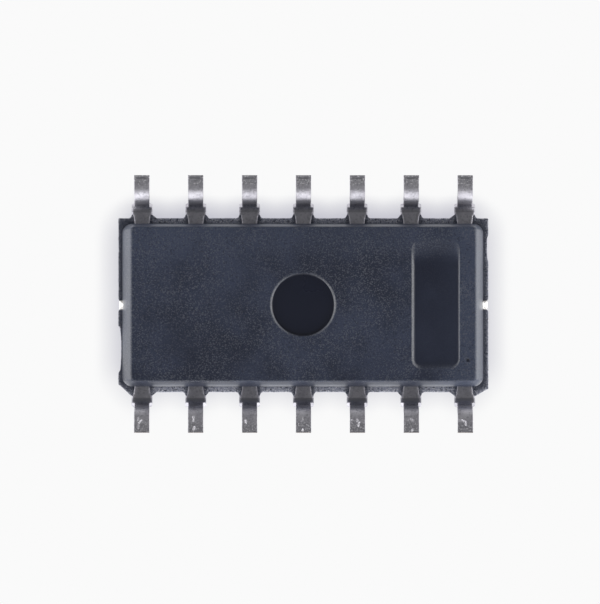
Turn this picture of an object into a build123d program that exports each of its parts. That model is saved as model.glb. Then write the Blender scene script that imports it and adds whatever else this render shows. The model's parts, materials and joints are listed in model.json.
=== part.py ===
from build123d import *
from math import copysign, radians, tan
import os

# A small outline chip with seven gull wing leads along each long side. Millimetres.
# The origin is the centre of the plane that the feet stand on, and +Z points up to the top face.
# +X runs along the body, towards the end with the shallow pocket in its underside.
# Lead 1 is at -X and -Y, and the numbers run anticlockwise as seen from above.

# Leads outside the body
leads_per_side = 7
lead_pitch = 1.27
foot_clearance = 0.15      # seating plane to the underside of the body
lead_thickness = 0.18
tip_width = 0.36           # the blade is a little wider at its tip than at its bend
blade_width = 0.345
neck_width = 0.385         # where it leaves the body
neck_end_width = 0.43      # short of the cut tie bar
neck_flare = 0.05          # the neck's corners where it meets the cut tie bar
stub_width = 0.49          # what the trimming punch left of the bar that joined the leads
stub_gap = 0.235           # body outline to the near edge of that bar
stub_turn = 36             # degrees round the upper bend at which the bar's outer edge lies
bend_gap = 0.27            # body outline to the start of the upper bend
bend_radius = 0.18         # inside of both bends
riser_lean = 4.6           # degrees from upright
sole_length = 0.275        # flat part

# Body
end_margin = 0.465         # centre line of the corner leads to the end of the body
body_width = 3.85
lower_depth = 0.65         # underside of the lead frame down to the underside of the body
upper_depth = 0.62         # top of the lead frame up to the top face
lower_end_draft = 17       # degrees
lower_side_draft = 8
upper_end_draft = 10
upper_side_draft = 8
parting_corner = 0.24      # corner radius of the body in plan, at the parting line
face_corner = 0.11         # the same at the top and bottom faces
face_edge = 0.025          # narrow bevel round the top and bottom faces

# Resin that set between the leads, out to the punched edge
flash_side = 0.135         # how far it stands out along the long sides
flash_end = 0.10           # and at the two ends
flash_recess = 0.015       # the lead frame stands proud of it on both faces
flash_corner = 0.04
punch_corner = 0.13        # inner corners of the punch that cut between the leads
punch_reach = 0.60         # how far the punch reached out past the resin
corner_cut_left = 0.25     # slanted corners on the +Y side, depth along the end
corner_cut_right = 0.13
tie_bar_notch_round = 0.05

# Marks that the mould left
ejector_diameter = 1.45
ejector_rim = 0.04
ejector_depth = 0.07
pocket_length = 3.07       # along Y
pocket_width = 1.09
pocket_corner = 0.13
pocket_depth = 0.04
pocket_wall = 0.02         # the pocket's walls lean out by this much
pocket_margin = 0.40       # pocket to the end of the underside
dimple_diameter = 0.60
dimple_depth = 0.05
dimple_inset = 0.60        # centre of the dimple to both edges of the top face

# Lead frame inside the body
root_length = 0.40         # straight part of each finger, inside the body
finger_width = 0.30
finger_gap = 0.20          # fingers to the paddle
side_fan = 0.78            # how far the fingers along the paddle lean inwards
end_finger_offset = 0.33   # how far the corner fingers stop short of the paddle's edge, along Y
lock_notch = 0.07          # the notches that the resin grips
lock_inset = 0.14          # from the body outline
paddle_length = 3.00
paddle_width = 2.10
paddle_drop = 0.15         # the paddle lies lower than the leads
drop_run = 0.30            # length of the slope down to it
tie_bar_width = 0.21
tie_bar_proud = 0.055      # past the body outline, inside the edge of the resin
tie_bar_end_round = 0.06

# Die and its bond wires
attach_thickness = 0.03
attach_margin = 0.07
die_length = 1.60
die_width = 1.20
die_thickness = 0.22
pad_inset = 0.10           # bond pads to the die's edge
wire_diameter = 0.03
wire_sides = 6             # a round wire, drawn with few flats
ball_diameter = 0.08
ball_height = 0.02
wire_rise = 0.11           # upright part above the ball
loop_rise = 0.15           # crest of the loop above the die
loop_run = 0.30            # pad to the crest
stitch_length = 0.07
stitch_width = 0.05
stitch_height = 0.02
stitch_inset = 0.12        # finger tip to the stitch

# Heights
frame_bottom = foot_clearance + lower_depth
frame_top = frame_bottom + lead_thickness
body_bottom = foot_clearance
body_top = frame_top + upper_depth
paddle_bottom = frame_bottom - paddle_drop
paddle_top = paddle_bottom + lead_thickness
attach_top = paddle_top + attach_thickness
die_top = attach_top + die_thickness

# Places along X
corner_lead_x = lead_pitch * (leads_per_side - 1) / 2
lead_row = [lead_pitch * i - corner_lead_x for i in range(leads_per_side)]
body_length = 2 * (corner_lead_x + end_margin)
flash_half_length = body_length / 2 + flash_end

# Places along Y, from the middle of the body out to the tip of a lead
body_side = body_width / 2
flash_edge = body_side + flash_side
stub_start = body_side + stub_gap
bend_start = body_side + bend_gap
outer_bend_radius = bend_radius + lead_thickness
bend_turn = 90 - riser_lean
bend_tangent = tan(radians(bend_turn) / 2)
riser_run = frame_bottom * tan(radians(riser_lean))
heel = bend_start + (bend_radius + outer_bend_radius) * bend_tangent + riser_run
lead_tip = heel + sole_length
finger_tip_y = paddle_width / 2 + finger_gap


def strip(points, start_width, end_width):
    """Flat strip of metal along points, with mitred corners."""
    path = [Vector(*p) for p in points]
    steps = [(b - a).normalized() for a, b in zip(path, path[1:])]
    left = []
    right = []
    for i, point in enumerate(path):
        before = steps[max(i - 1, 0)]
        after = steps[min(i, len(steps) - 1)]
        along = (before + after).normalized()
        across = Vector(-along.Y, along.X) / before.dot(along)
        share = i / (len(path) - 1)
        half = (start_width + (end_width - start_width) * share) / 2
        left.append(point + across * half)
        right.append(point - across * half)
    return make_face(Polyline(*left, *reversed(right), close=True))


def punch_window(near_x, far_x):
    """Plan of the punch that cut away resin and bar between two leads of the +Y side."""
    width = far_x - near_x
    centre = Pos((near_x + far_x) / 2, flash_edge + punch_reach / 2)
    return centre * RectangleRounded(width, punch_reach, punch_corner)


def punch_windows(lead_x):
    """The two punch cuts beside one lead of the +Y side."""
    gap = lead_pitch - stub_width
    right = lead_x + stub_width / 2
    left = lead_x - stub_width / 2
    return punch_window(left - gap, left) + punch_window(right, right + gap)


def finger_path(lead_x):
    """Middle line of the finger inside the body, from the root to the tip that the wire lands on."""
    root = (lead_x, body_side)
    knee = (lead_x, body_side - root_length)
    if abs(lead_x) < corner_lead_x:
        return [root, knee, (lead_x * side_fan, finger_tip_y)]
    tip_x = paddle_length / 2 + finger_gap + finger_width / 2
    return [root, knee, (copysign(tip_x, lead_x), paddle_width / 2 - end_finger_offset)]


def lead_profile():
    """Side view of a lead of the +Y side: frame level inside, down the riser, out along the sole."""
    low_bend = bend_start + bend_radius * bend_tangent
    high_bend = bend_start + outer_bend_radius * bend_tangent
    low_heel = heel - outer_bend_radius * bend_tangent
    high_heel = heel - bend_radius * bend_tangent
    under = FilletPolyline(
        (0, frame_bottom), (low_bend, frame_bottom),
        (low_heel, 0), (lead_tip, 0),
        radius=[bend_radius, outer_bend_radius],
    )
    over = FilletPolyline(
        (0, frame_top), (high_bend, frame_top),
        (high_heel, lead_thickness), (lead_tip, lead_thickness),
        radius=[outer_bend_radius, bend_radius],
    )
    ends = [Line(under @ 1, over @ 1), Line(over @ 0, under @ 0)]
    return Plane.YZ * make_face([*under.edges(), *over.edges(), *ends])


def lead_plan(lead_x):
    """Plan of a lead of the +Y side as far as the cut tie bar: finger, notched neck, and stub."""
    finger = strip(finger_path(lead_x), neck_width, finger_width)
    neck_end = stub_start - neck_flare
    neck = strip([(lead_x, body_side), (lead_x, neck_end)], neck_width, neck_end_width)
    flare = make_face(Polyline(
        (lead_x - neck_end_width / 2, neck_end),
        (lead_x + neck_end_width / 2, neck_end),
        (lead_x + stub_width / 2, stub_start),
        (lead_x - stub_width / 2, stub_start),
        close=True,
    ))
    bar = Pos(lead_x, (stub_start + heel) / 2) * Rectangle(lead_pitch, heel - stub_start)
    stub = bar - punch_windows(lead_x)
    plan = finger + neck + flare + stub
    for side in (-1, 1):
        notch = Pos(lead_x + side * neck_width / 2, body_side - lock_inset) * Rot(0, 0, 45)
        plan -= notch * Rectangle(lock_notch, lock_notch)
    return plan


def make_lead(lead_x):
    """One lead of the +Y side as a bent strip: its side view and its plan, both at once.

    The cut tie bar ends on the upper bend, square to the strip there.
    """
    bent = extrude(lead_profile(), amount=2 * corner_lead_x, both=True)
    outline = extrude(lead_plan(lead_x), amount=frame_top)
    bend_centre = Pos(lead_x, bend_start, frame_bottom - bend_radius)
    beyond = Pos(0, lead_tip / 2, 0) * Box(lead_pitch, lead_tip, lead_tip)
    outline -= bend_centre * Rot(-stub_turn, 0, 0) * beyond
    blade_line = [(lead_x, stub_start), (lead_x, lead_tip)]
    blade = extrude(strip(blade_line, blade_width, tip_width), amount=frame_top)
    return bent & (outline + blade)


def make_leads():
    """All the leads in their order round the body. The -Y row is the +Y row turned half round."""
    near = [Rot(0, 0, 180) * make_lead(-x) for x in lead_row]
    far = [make_lead(x) for x in reversed(lead_row)]
    return near + far


def make_paddle():
    """Paddle that carries the die, dropped below the leads, with a tie bar to each end of the body."""
    end = body_length / 2 + tie_bar_proud
    slope_foot = paddle_length / 2
    slope_head = slope_foot + drop_run
    under = [
        (-end, frame_bottom), (-slope_head, frame_bottom), (-slope_foot, paddle_bottom),
        (slope_foot, paddle_bottom), (slope_head, frame_bottom), (end, frame_bottom),
    ]
    over = [(x, z + lead_thickness) for x, z in reversed(under)]
    side_view = Plane.XZ * make_face(Polyline(*under, *over, close=True))
    plan = Rectangle(paddle_length, paddle_width) + Rectangle(2 * end, tie_bar_width)
    paddle = extrude(side_view, amount=paddle_width, both=True) & extrude(plan, amount=frame_top)
    end_edges = paddle.edges().filter_by(Axis.Y).filter_by(
        lambda e: abs(abs(e.center().X) - end) < 1e-6 and e.center().Z < frame_top - 1e-6
    )
    return fillet(end_edges, tie_bar_end_round)


def make_die_attach():
    """Thin layer of adhesive between the paddle and the die."""
    layer = Rectangle(die_length + 2 * attach_margin, die_width + 2 * attach_margin)
    return Pos(0, 0, paddle_top) * extrude(layer, amount=attach_thickness)


def make_die():
    """The silicon die."""
    return Pos(0, 0, attach_top) * extrude(Rectangle(die_length, die_width), amount=die_thickness)


def make_bond_wire(lead_x):
    """One wire of the +Y side: ball on the die, upright neck, low loop, and a stitch on the finger."""
    pad_x = lead_x / corner_lead_x * (die_length / 2 - pad_inset)
    pad = Vector(pad_x, die_width / 2 - pad_inset, die_top)
    path = finger_path(lead_x)
    tip = Vector(*path[-1])
    back = (Vector(*path[-2]) - tip).normalized()
    landing = tip + back * stitch_inset + Vector(0, 0, frame_top)
    level = Vector(landing.X - pad.X, landing.Y - pad.Y).normalized()
    crest = pad + level * loop_run + Vector(0, 0, loop_rise)
    end = landing + Vector(0, 0, wire_diameter / 2)
    route = Polyline(pad, pad + Vector(0, 0, wire_rise), crest, end)
    on_pad = Plane(origin=pad, x_dir=level, z_dir=(0, 0, 1))
    on_finger = Plane(origin=landing, x_dir=level, z_dir=(0, 0, 1))
    section = on_pad * RegularPolygon(wire_diameter / 2, wire_sides)
    wire = sweep(section, path=route, transition=Transition.RIGHT)
    ball = extrude(on_pad * RegularPolygon(ball_diameter / 2, wire_sides), amount=ball_height)
    stitch = extrude(on_finger * Rectangle(stitch_length, stitch_width), amount=stitch_height)
    return wire + ball + stitch


def make_bond_wires():
    """A wire for each lead, in the leads' order."""
    near = [Rot(0, 0, 180) * make_bond_wire(-x) for x in lead_row]
    far = [make_bond_wire(x) for x in reversed(lead_row)]
    return near + far


def body_section(height, depth, end_draft, side_draft, inset):
    """Plan of the drafted body at one height, which lies depth away from the lead frame."""
    length = body_length - 2 * (depth * tan(radians(end_draft)) + inset)
    width = body_width - 2 * (depth * tan(radians(side_draft)) + inset)
    return Pos(0, 0, height) * RectangleRounded(length, width, face_corner)


def body_half(face_height, end_draft, side_draft):
    """Half of the moulded body, from the lead frame's near side to its face, with drafted sides."""
    start_height = frame_bottom if face_height < frame_bottom else frame_top
    depth = abs(face_height - start_height)
    edge_height = face_height + copysign(face_edge, start_height - face_height)
    parting = Pos(0, 0, start_height) * RectangleRounded(body_length, body_width, parting_corner)
    edge = body_section(edge_height, depth - face_edge, end_draft, side_draft, 0)
    face = body_section(face_height, depth, end_draft, side_draft, face_edge)
    return loft([parting, edge, face], ruled=True)


def flash_plan():
    """Plan of the resin plate between the leads, cut back by the punch."""
    plan = RectangleRounded(2 * flash_half_length, 2 * stub_start, flash_corner)
    stub_side = corner_lead_x + stub_width / 2
    for turn in (0, 180):
        for lead_x in lead_row[1:]:
            between = punch_window(lead_x - lead_pitch + stub_width / 2, lead_x - stub_width / 2)
            plan -= Rot(0, 0, turn) * between
    plan -= Rot(0, 0, 180) * punch_window(stub_side, stub_side + lead_pitch)
    plan -= Rot(0, 0, 180) * punch_window(-stub_side - lead_pitch, -stub_side)
    cuts = {-1: corner_cut_left, 1: corner_cut_right}
    for side, depth in cuts.items():
        plan -= make_face(Polyline(
            (side * stub_side, stub_start),
            (side * flash_half_length, stub_start - depth),
            (side * (flash_half_length + flash_end), stub_start - depth),
            (side * (flash_half_length + flash_end), stub_start + flash_side),
            (side * stub_side, stub_start + flash_side),
            close=True,
        ))
    plan -= Rectangle(4 * flash_half_length, tie_bar_width) - Rectangle(body_length, tie_bar_width)
    mouths = plan.vertices().filter_by(
        lambda v: abs(abs(v.X) - flash_half_length) < 1e-6 and abs(abs(v.Y) - tie_bar_width / 2) < 1e-6
    )
    return fillet(mouths, tie_bar_notch_round)


def make_compound(held):
    """The moulded body round everything in held, with its resin flash and the marks of its mould."""
    middle = Pos(0, 0, frame_bottom) * extrude(
        RectangleRounded(body_length, body_width, parting_corner), amount=lead_thickness
    )
    flash = Pos(0, 0, frame_bottom + flash_recess) * extrude(
        flash_plan(), amount=lead_thickness - 2 * flash_recess
    )
    lower = body_half(body_bottom, lower_end_draft, lower_side_draft)
    upper = body_half(body_top, upper_end_draft, upper_side_draft)
    body = lower + middle + upper + flash
    body -= Pos(0, 0, body_bottom + ejector_depth / 2) * Rot(180, 0, 0) * Cone(
        ejector_diameter / 2, ejector_diameter / 2 + ejector_rim, ejector_depth
    )
    body -= make_pocket()
    body -= make_dimple()
    for piece in held:
        body -= piece
    return body


def make_pocket():
    """Shallow pocket in the underside, near the +X end, for the mould's own mark. It is bare."""
    end = body_length / 2 - lower_depth * tan(radians(lower_end_draft))
    middle = end - pocket_margin - pocket_width / 2
    mouth = Pos(middle, 0, body_bottom) * RectangleRounded(pocket_width, pocket_length, pocket_corner)
    floor = Pos(middle, 0, body_bottom + pocket_depth) * RectangleRounded(
        pocket_width - 2 * pocket_wall, pocket_length - 2 * pocket_wall, pocket_corner - pocket_wall
    )
    return loft([mouth, floor], ruled=True)


def make_dimple():
    """Round dimple in the top face that shows where lead 1 is."""
    x = -(body_length / 2 - upper_depth * tan(radians(upper_end_draft))) + dimple_inset
    y = -(body_side - upper_depth * tan(radians(upper_side_draft))) + dimple_inset
    return Pos(x, y, body_top - dimple_depth / 2) * Cylinder(dimple_diameter / 2, dimple_depth)


nodes = {f"lead_{i + 1:02d}": lead for i, lead in enumerate(make_leads())}
nodes["die_paddle"] = make_paddle()
nodes["die_attach"] = make_die_attach()
nodes["silicon_die"] = make_die()
nodes.update({f"bond_wire_{i + 1:02d}": wire for i, wire in enumerate(make_bond_wires())})
nodes["mold_compound"] = make_compound(list(nodes.values()))

os.makedirs("parts", exist_ok=True)
for name, solid in nodes.items():
    export_step(solid, f"parts/{name}.step")
    print(f"{name}: {solid.volume:.4f} mm3, {len(solid.solids())} solid")
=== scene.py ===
"""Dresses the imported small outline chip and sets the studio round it.

Sizes are in millimetres in the chip's own frame: feet on z = 0, +Z up to the top face, +X along the body.
"""

import json
import logging
import math
from collections.abc import Sequence
from dataclasses import asdict, dataclass, field, fields
from enum import Enum

import bmesh
import bpy
import numpy as np
from mathutils import Matrix, Vector
from mathutils.geometry import tessellate_polygon

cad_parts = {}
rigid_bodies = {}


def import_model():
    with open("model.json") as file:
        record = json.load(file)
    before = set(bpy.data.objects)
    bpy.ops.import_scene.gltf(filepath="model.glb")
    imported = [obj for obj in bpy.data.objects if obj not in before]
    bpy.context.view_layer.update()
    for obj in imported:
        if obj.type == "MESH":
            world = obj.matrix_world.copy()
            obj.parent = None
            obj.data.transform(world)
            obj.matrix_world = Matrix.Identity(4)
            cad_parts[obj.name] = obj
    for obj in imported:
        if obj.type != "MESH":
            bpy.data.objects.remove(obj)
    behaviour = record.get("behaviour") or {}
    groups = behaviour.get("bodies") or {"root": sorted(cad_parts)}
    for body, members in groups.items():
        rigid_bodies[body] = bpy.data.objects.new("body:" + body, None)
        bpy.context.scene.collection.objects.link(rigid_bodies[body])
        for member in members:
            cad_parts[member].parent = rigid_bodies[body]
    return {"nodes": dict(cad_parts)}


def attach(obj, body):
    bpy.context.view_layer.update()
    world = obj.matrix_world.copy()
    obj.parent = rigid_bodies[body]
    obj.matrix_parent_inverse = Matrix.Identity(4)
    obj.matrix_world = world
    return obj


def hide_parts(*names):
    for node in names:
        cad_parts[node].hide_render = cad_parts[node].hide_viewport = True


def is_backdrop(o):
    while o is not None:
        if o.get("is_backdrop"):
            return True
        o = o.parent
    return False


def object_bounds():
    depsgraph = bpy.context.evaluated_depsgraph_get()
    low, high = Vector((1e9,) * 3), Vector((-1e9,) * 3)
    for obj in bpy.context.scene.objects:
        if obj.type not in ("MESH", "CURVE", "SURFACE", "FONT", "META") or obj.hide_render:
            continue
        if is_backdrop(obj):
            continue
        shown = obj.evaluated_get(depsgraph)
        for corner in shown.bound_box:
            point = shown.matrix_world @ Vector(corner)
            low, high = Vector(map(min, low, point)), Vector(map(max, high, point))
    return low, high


MM = 0.001
BODY = "root"
log = logging.getLogger("chip")

Pair = tuple[float, float]
Triple = tuple[float, float, float]
Colour = Triple
Ramp = tuple[float, float, float, float]  # start and end of a range, and the values there
Socket = bpy.types.NodeSocket
Sockets = Sequence[bpy.types.NodeSocket]
Materials = dict[str, bpy.types.Material]


# Node trees


class Graph:
    """Adds and joins the nodes of one tree."""

    def __init__(self, tree: bpy.types.NodeTree) -> None:
        """Takes the tree to fill."""
        self.tree = tree

    @classmethod
    def emptied(cls, owner: bpy.types.Material | bpy.types.World) -> "Graph":
        """Turns on the nodes of a material or a world and clears them.

        Args:
            owner: The material or world.

        Returns:
            The graph of its tree.
        """
        owner.use_nodes = True
        owner.node_tree.nodes.clear()
        return cls(owner.node_tree)

    @staticmethod
    def socket(sockets: Sockets, key: str | int) -> Socket:
        """Finds a socket by its place, or the one in use by its name.

        Args:
            sockets: A node's inputs or outputs.
            key: Index or name.

        Returns:
            The socket.
        """
        if isinstance(key, int):
            return sockets[key]
        return next(s for s in sockets if s.name == key and s.enabled)

    def add(self, kind: str, inputs: dict | None = None, **settings: object) -> bpy.types.Node:
        """Adds one node.

        Args:
            kind: The node's type name.
            inputs: Values or other nodes' sockets, by input name or index.
            **settings: Properties of the node itself.

        Returns:
            The new node.
        """
        node = self.tree.nodes.new(kind)
        for name, value in settings.items():
            setattr(node, name, value)
        for key, value in (inputs or {}).items():
            target = self.socket(node.inputs, key)
            if isinstance(value, Socket):
                self.tree.links.new(value, target)
            else:
                target.default_value = value
        return node

    def math(self, operation: str, *values: object) -> Socket:
        """Result of a Math node, whose inputs are numbers or sockets."""
        return self.add("ShaderNodeMath", dict(enumerate(values)), operation=operation).outputs[0]

    def times(self, first: object, second: object) -> Socket:
        """Product of two numbers or sockets."""
        return self.math("MULTIPLY", first, second)

    def plus(self, first: object, second: object) -> Socket:
        """Sum of two numbers or sockets."""
        return self.math("ADD", first, second)

    def minus(self, first: object, second: object) -> Socket:
        """Difference of two numbers or sockets."""
        return self.math("SUBTRACT", first, second)

    def vector(self, operation: str, *values: object) -> Socket:
        """Result of a Vector Math node that gives a vector."""
        return self.add("ShaderNodeVectorMath", dict(enumerate(values)), operation=operation).outputs[0]

    def dot(self, first: object, second: object) -> Socket:
        """Dot product of two vectors or their sockets."""
        node = self.add("ShaderNodeVectorMath", {0: first, 1: second}, operation="DOT_PRODUCT")
        return node.outputs["Value"]

    def scale(self, vector: object, factor: object) -> Socket:
        """A vector times a number."""
        return self.add("ShaderNodeVectorMath", {0: vector, "Scale": factor}, operation="SCALE").outputs[0]

    def split(self, vector: object) -> Sockets:
        """X, Y and Z of a vector."""
        return self.add("ShaderNodeSeparateXYZ", {0: vector}).outputs

    def join(self, *parts: object) -> Socket:
        """The vector of an X, Y and Z. What is left out is 0."""
        return self.add("ShaderNodeCombineXYZ", dict(enumerate(parts))).outputs[0]

    def ramp(self, value: object, start: object, end: object, low: object = 0.0, high: object = 1.0,
             smooth: bool = False) -> Socket:
        """Turns a range of values into another one, and holds it at both ends.

        Args:
            value: What is mapped.
            start: Where the result is low.
            end: Where the result is high.
            low: The result at the start.
            high: The result at the end.
            smooth: Eases in and out.

        Returns:
            The result's socket.
        """
        kind = "SMOOTHSTEP" if smooth else "LINEAR"
        inputs = {0: value, 1: start, 2: end, 3: low, 4: high}
        return self.add("ShaderNodeMapRange", inputs, interpolation_type=kind).outputs[0]

    def mix(self, share: object, first: object, second: object) -> Socket:
        """Mixes two colours.

        Args:
            share: How much of the second.
            first: Colour or socket.
            second: Colour or socket.

        Returns:
            The mixed colour's socket.
        """
        colours = [(*c, 1.0) if isinstance(c, tuple) else c for c in (first, second)]
        inputs = {"Factor": share, "A": colours[0], "B": colours[1]}
        node = self.add("ShaderNodeMix", inputs, data_type="RGBA")
        return self.socket(node.outputs, "Result")

    def noise(self, place: object, size: object, detail: float = 2.0) -> Socket:
        """Value of a noise pattern whose blotches are about a size apart, in metres."""
        scale = self.math("DIVIDE", 1.0, size) if isinstance(size, Socket) else 1.0 / size
        return self.add("ShaderNodeTexNoise", {"Vector": place, "Scale": scale, "Detail": detail}).outputs[0]


def new_group(name: str, inputs: dict[str, object], outputs: Sequence[str]) -> tuple[Graph, Sockets]:
    """Starts a shader group that reads a place and some numbers and puts out values.

    Args:
        name: The group's name.
        inputs: Its number and vector inputs and their usual values.
        outputs: Its value outputs.

    Returns:
        The graph to fill and what is given to it. The group's first input is the place, Vector.
    """
    tree = bpy.data.node_groups.new(name, "ShaderNodeTree")
    tree.interface.new_socket("Vector", in_out="INPUT", socket_type="NodeSocketVector")
    for key, value in inputs.items():
        kind = "NodeSocketVector" if isinstance(value, tuple) else "NodeSocketFloat"
        tree.interface.new_socket(key, in_out="INPUT", socket_type=kind).default_value = value
    for key in outputs:
        tree.interface.new_socket(key, in_out="OUTPUT", socket_type="NodeSocketFloat")
    graph = Graph(tree)
    return graph, graph.add("NodeGroupInput").outputs


class Effects:
    """The surface effects that several finishes share, each one a shader group."""

    grain_level: float = 0.72
    light_edge: float = 0.10
    dark_edge: float = 0.12
    dark_size: float = 1.6
    dark_shift: Triple = (0.37, 0.11, 0.23)
    fine_size: float = 0.23
    cloud_shares: Pair = (0.65, 0.35)
    cloud_range: Pair = (0.36, 0.64)
    ragged_size: float = 0.03 * MM
    ragged_by: float = 0.016 * MM
    scrape_edge: Pair = (0.30, 0.62)

    def __init__(self) -> None:
        """Builds every group once."""
        self.speckle = self._speckle()
        self.clouds = self._clouds()
        self.scrape = self._scrape()

    def _speckle(self) -> bpy.types.NodeTree:
        """Mineral grains: some lighter and some darker than the resin round them."""
        usual = {"Size": 0.03 * MM, "Light share": 0.1, "Dark share": 0.1}
        graph, given = new_group("Mineral speckle", usual, ("Light", "Dark", "Height"))
        coarse = graph.noise(given["Vector"], given["Size"], 1.0)
        moved = graph.vector("ADD", given["Vector"], self.dark_shift)
        other = graph.noise(moved, graph.times(given["Size"], self.dark_size), 1.0)
        light_from = graph.minus(self.grain_level, given["Light share"])
        dark_from = graph.minus(self.grain_level, given["Dark share"])
        graph.add("NodeGroupOutput", {
            "Light": graph.ramp(coarse, light_from, graph.plus(light_from, self.light_edge)),
            "Dark": graph.ramp(other, dark_from, graph.plus(dark_from, self.dark_edge)),
            "Height": coarse,
        })
        return graph.tree

    def _clouds(self) -> bpy.types.NodeTree:
        """Soft blotches at two sizes, as handling and the mould's wear leave them."""
        graph, given = new_group("Soft clouds", {"Size": 2.0 * MM, "Shift": 0.0}, ("Value",))
        place = graph.vector("ADD", given["Vector"], graph.join(given["Shift"]))
        wide = graph.noise(place, given["Size"])
        fine = graph.noise(place, graph.times(given["Size"], self.fine_size), 3.0)
        wide_share, fine_share = self.cloud_shares
        both = graph.math("MULTIPLY_ADD", fine, fine_share, graph.times(wide, wide_share))
        graph.add("NodeGroupOutput", {"Value": graph.ramp(both, *self.cloud_range, smooth=True)})
        return graph.tree

    def _scrape(self) -> bpy.types.NodeTree:
        """One short scrape seen in plan, along a straight line and with uneven edges."""
        usual = {"From": (0.0, 0.0, 0.0), "Along": (0.0, 0.01 * MM, 0.0), "Width": 0.03 * MM}
        graph, given = new_group("Scrape", usual, ("Mask",))
        plan = graph.vector("MULTIPLY", given["Vector"], (1.0, 1.0, 0.0))
        reach = graph.vector("SUBTRACT", plan, given["From"])
        along = given["Along"]
        share = graph.math("DIVIDE", graph.dot(reach, along), graph.dot(along, along))
        share = graph.math("MINIMUM", graph.math("MAXIMUM", share, 0.0), 1.0)
        off = graph.vector("SUBTRACT", reach, graph.scale(along, share))
        uneven = graph.minus(graph.noise(plan, self.ragged_size, 1.0), 0.5)
        distance = graph.math("POWER", graph.dot(off, off), 0.5)
        gap = graph.math("MULTIPLY_ADD", uneven, self.ragged_by, distance)
        inner, outer = (graph.times(given["Width"], part) for part in self.scrape_edge)
        graph.add("NodeGroupOutput", {"Mask": graph.ramp(gap, inner, outer, 1.0, 0.0)})
        return graph.tree


# Finishes


class Surface:
    """Starts a material with its Principled shader and its object coordinates."""

    def __init__(self, name: str, effects: Effects, settings: dict[str, object]) -> None:
        """Makes the material.

        Args:
            name: The material's name.
            effects: The shared groups.
            settings: What is the same all over, set on the shader's own sockets.
        """
        self.effects = effects
        self.material = bpy.data.materials.new(name)
        self.graph = Graph.emptied(self.material)
        self.shader = self.graph.add("ShaderNodeBsdfPrincipled", settings)
        self.graph.add("ShaderNodeOutputMaterial", {"Surface": self.shader.outputs[0]})
        self.place = self.graph.add("ShaderNodeTexCoord").outputs["Object"]

    def effect(self, tree: bpy.types.NodeTree, **values: object) -> Sockets:
        """Places a shared effect with this material's own values.

        Args:
            tree: The effect's group.
            **values: Its inputs, with underscores for spaces.

        Returns:
            What the group puts out.
        """
        node = self.graph.add("ShaderNodeGroup", node_tree=tree)
        self.graph.tree.links.new(self.place, node.inputs["Vector"])
        for key, value in values.items():
            node.inputs[key.replace("_", " ")].default_value = value
        return node.outputs

    def attribute(self, name: str) -> Socket:
        """Reads a number that the mesh carries."""
        return self.graph.add("ShaderNodeAttribute", attribute_name=name).outputs["Fac"]

    def paint(self, socket: str, value: Socket) -> None:
        """Feeds one input of the shader."""
        self.graph.tree.links.new(value, self.shader.inputs[socket])

    def bump(self, height: Socket, depth: float) -> None:
        """Turns a height from 0 to 1 into the shader's normal, with the pattern's depth in metres."""
        node = self.graph.add("ShaderNodeBump", {"Height": height, "Distance": depth})
        self.paint("Normal", node.outputs[0])


@dataclass(frozen=True)
class MouldedResin:
    """Dark epoxy from a spark eroded mould, smooth and darker where a pin or an insert left its mark."""

    pale: Colour = (0.040, 0.052, 0.095)
    deep: Colour = (0.020, 0.026, 0.051)
    hazy: Colour = (0.064, 0.080, 0.132)
    polished: Colour = (0.010, 0.013, 0.029)
    grain: Colour = (0.15, 0.16, 0.19)
    rubbed: Colour = (0.48, 0.49, 0.52)
    specular: float = 0.5
    roughness: float = 0.46
    roughness_spread: Pair = (0.05, -0.04)
    polished_roughness: float = 0.30
    cloud_size: float = 2.6 * MM
    grain_size: float = 0.027 * MM
    light_share: float = 0.19
    dark_share: float = 0.14
    dark_strength: float = 0.50
    patch_size: float = 1.1 * MM
    patch_range: Ramp = (0.36, 0.66, 0.26, 0.62)
    hazy_end: Ramp = (2.9 * MM, 3.9 * MM, 0.0, 0.8)
    hazy_side: Ramp = (-0.9 * MM, -1.5 * MM, 0.0, 0.40)
    rubbed_grain: Ramp = (0.30, 0.62, 0.55, 1.0)
    relief: float = 0.006 * MM

    def build(self, effects: Effects) -> bpy.types.Material:
        """Makes the material.

        Args:
            effects: The shared groups.

        Returns:
            The material. It reads the mesh's polish value and its edge value, which paints a sheen on walls
            and lips.
        """
        look = Surface("moulded resin", effects, {"Specular IOR Level": self.specular})
        graph = look.graph
        clouds = look.effect(effects.clouds, Size=self.cloud_size)
        specks = look.effect(effects.speckle, Size=self.grain_size, Light_share=self.light_share,
                             Dark_share=self.dark_share)
        polish = look.attribute("polish")
        rough_share = graph.minus(1.0, polish)
        place = graph.split(look.place)
        # Paler towards the +X end and the -Y side of the face.
        hazy_end = graph.ramp(place[0], *self.hazy_end, smooth=True)
        hazy_side = graph.ramp(place[1], *self.hazy_side, smooth=True)
        base = graph.mix(clouds[0], self.pale, self.deep)
        base = graph.mix(graph.math("MAXIMUM", hazy_end, hazy_side), base, self.hazy)
        patchy = graph.ramp(graph.noise(look.place, self.patch_size), *self.patch_range)
        light = graph.times(specks["Light"], graph.times(rough_share, patchy))
        base = graph.mix(light, base, self.grain)
        dark = graph.times(specks["Dark"], graph.times(rough_share, self.dark_strength))
        base = graph.mix(dark, base, self.polished)
        base = graph.mix(polish, base, self.polished)
        # The edge value paints a sheen on walls and lips, as the pale backdrop would show in them, grained by
        # the specks.
        uneven = graph.ramp(specks["Height"], *self.rubbed_grain)
        rubbed = graph.times(look.attribute("edge"), uneven)
        look.paint("Base Color", graph.mix(rubbed, base, self.rubbed))
        cloudy = [self.roughness + change for change in self.roughness_spread]
        spread = graph.ramp(clouds[0], 0.0, 1.0, *cloudy)
        smooth = graph.times(polish, self.polished_roughness - self.roughness)
        look.paint("Roughness", graph.plus(spread, smooth))
        look.bump(graph.times(specks["Height"], rough_share), self.relief)
        return look.material


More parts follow.
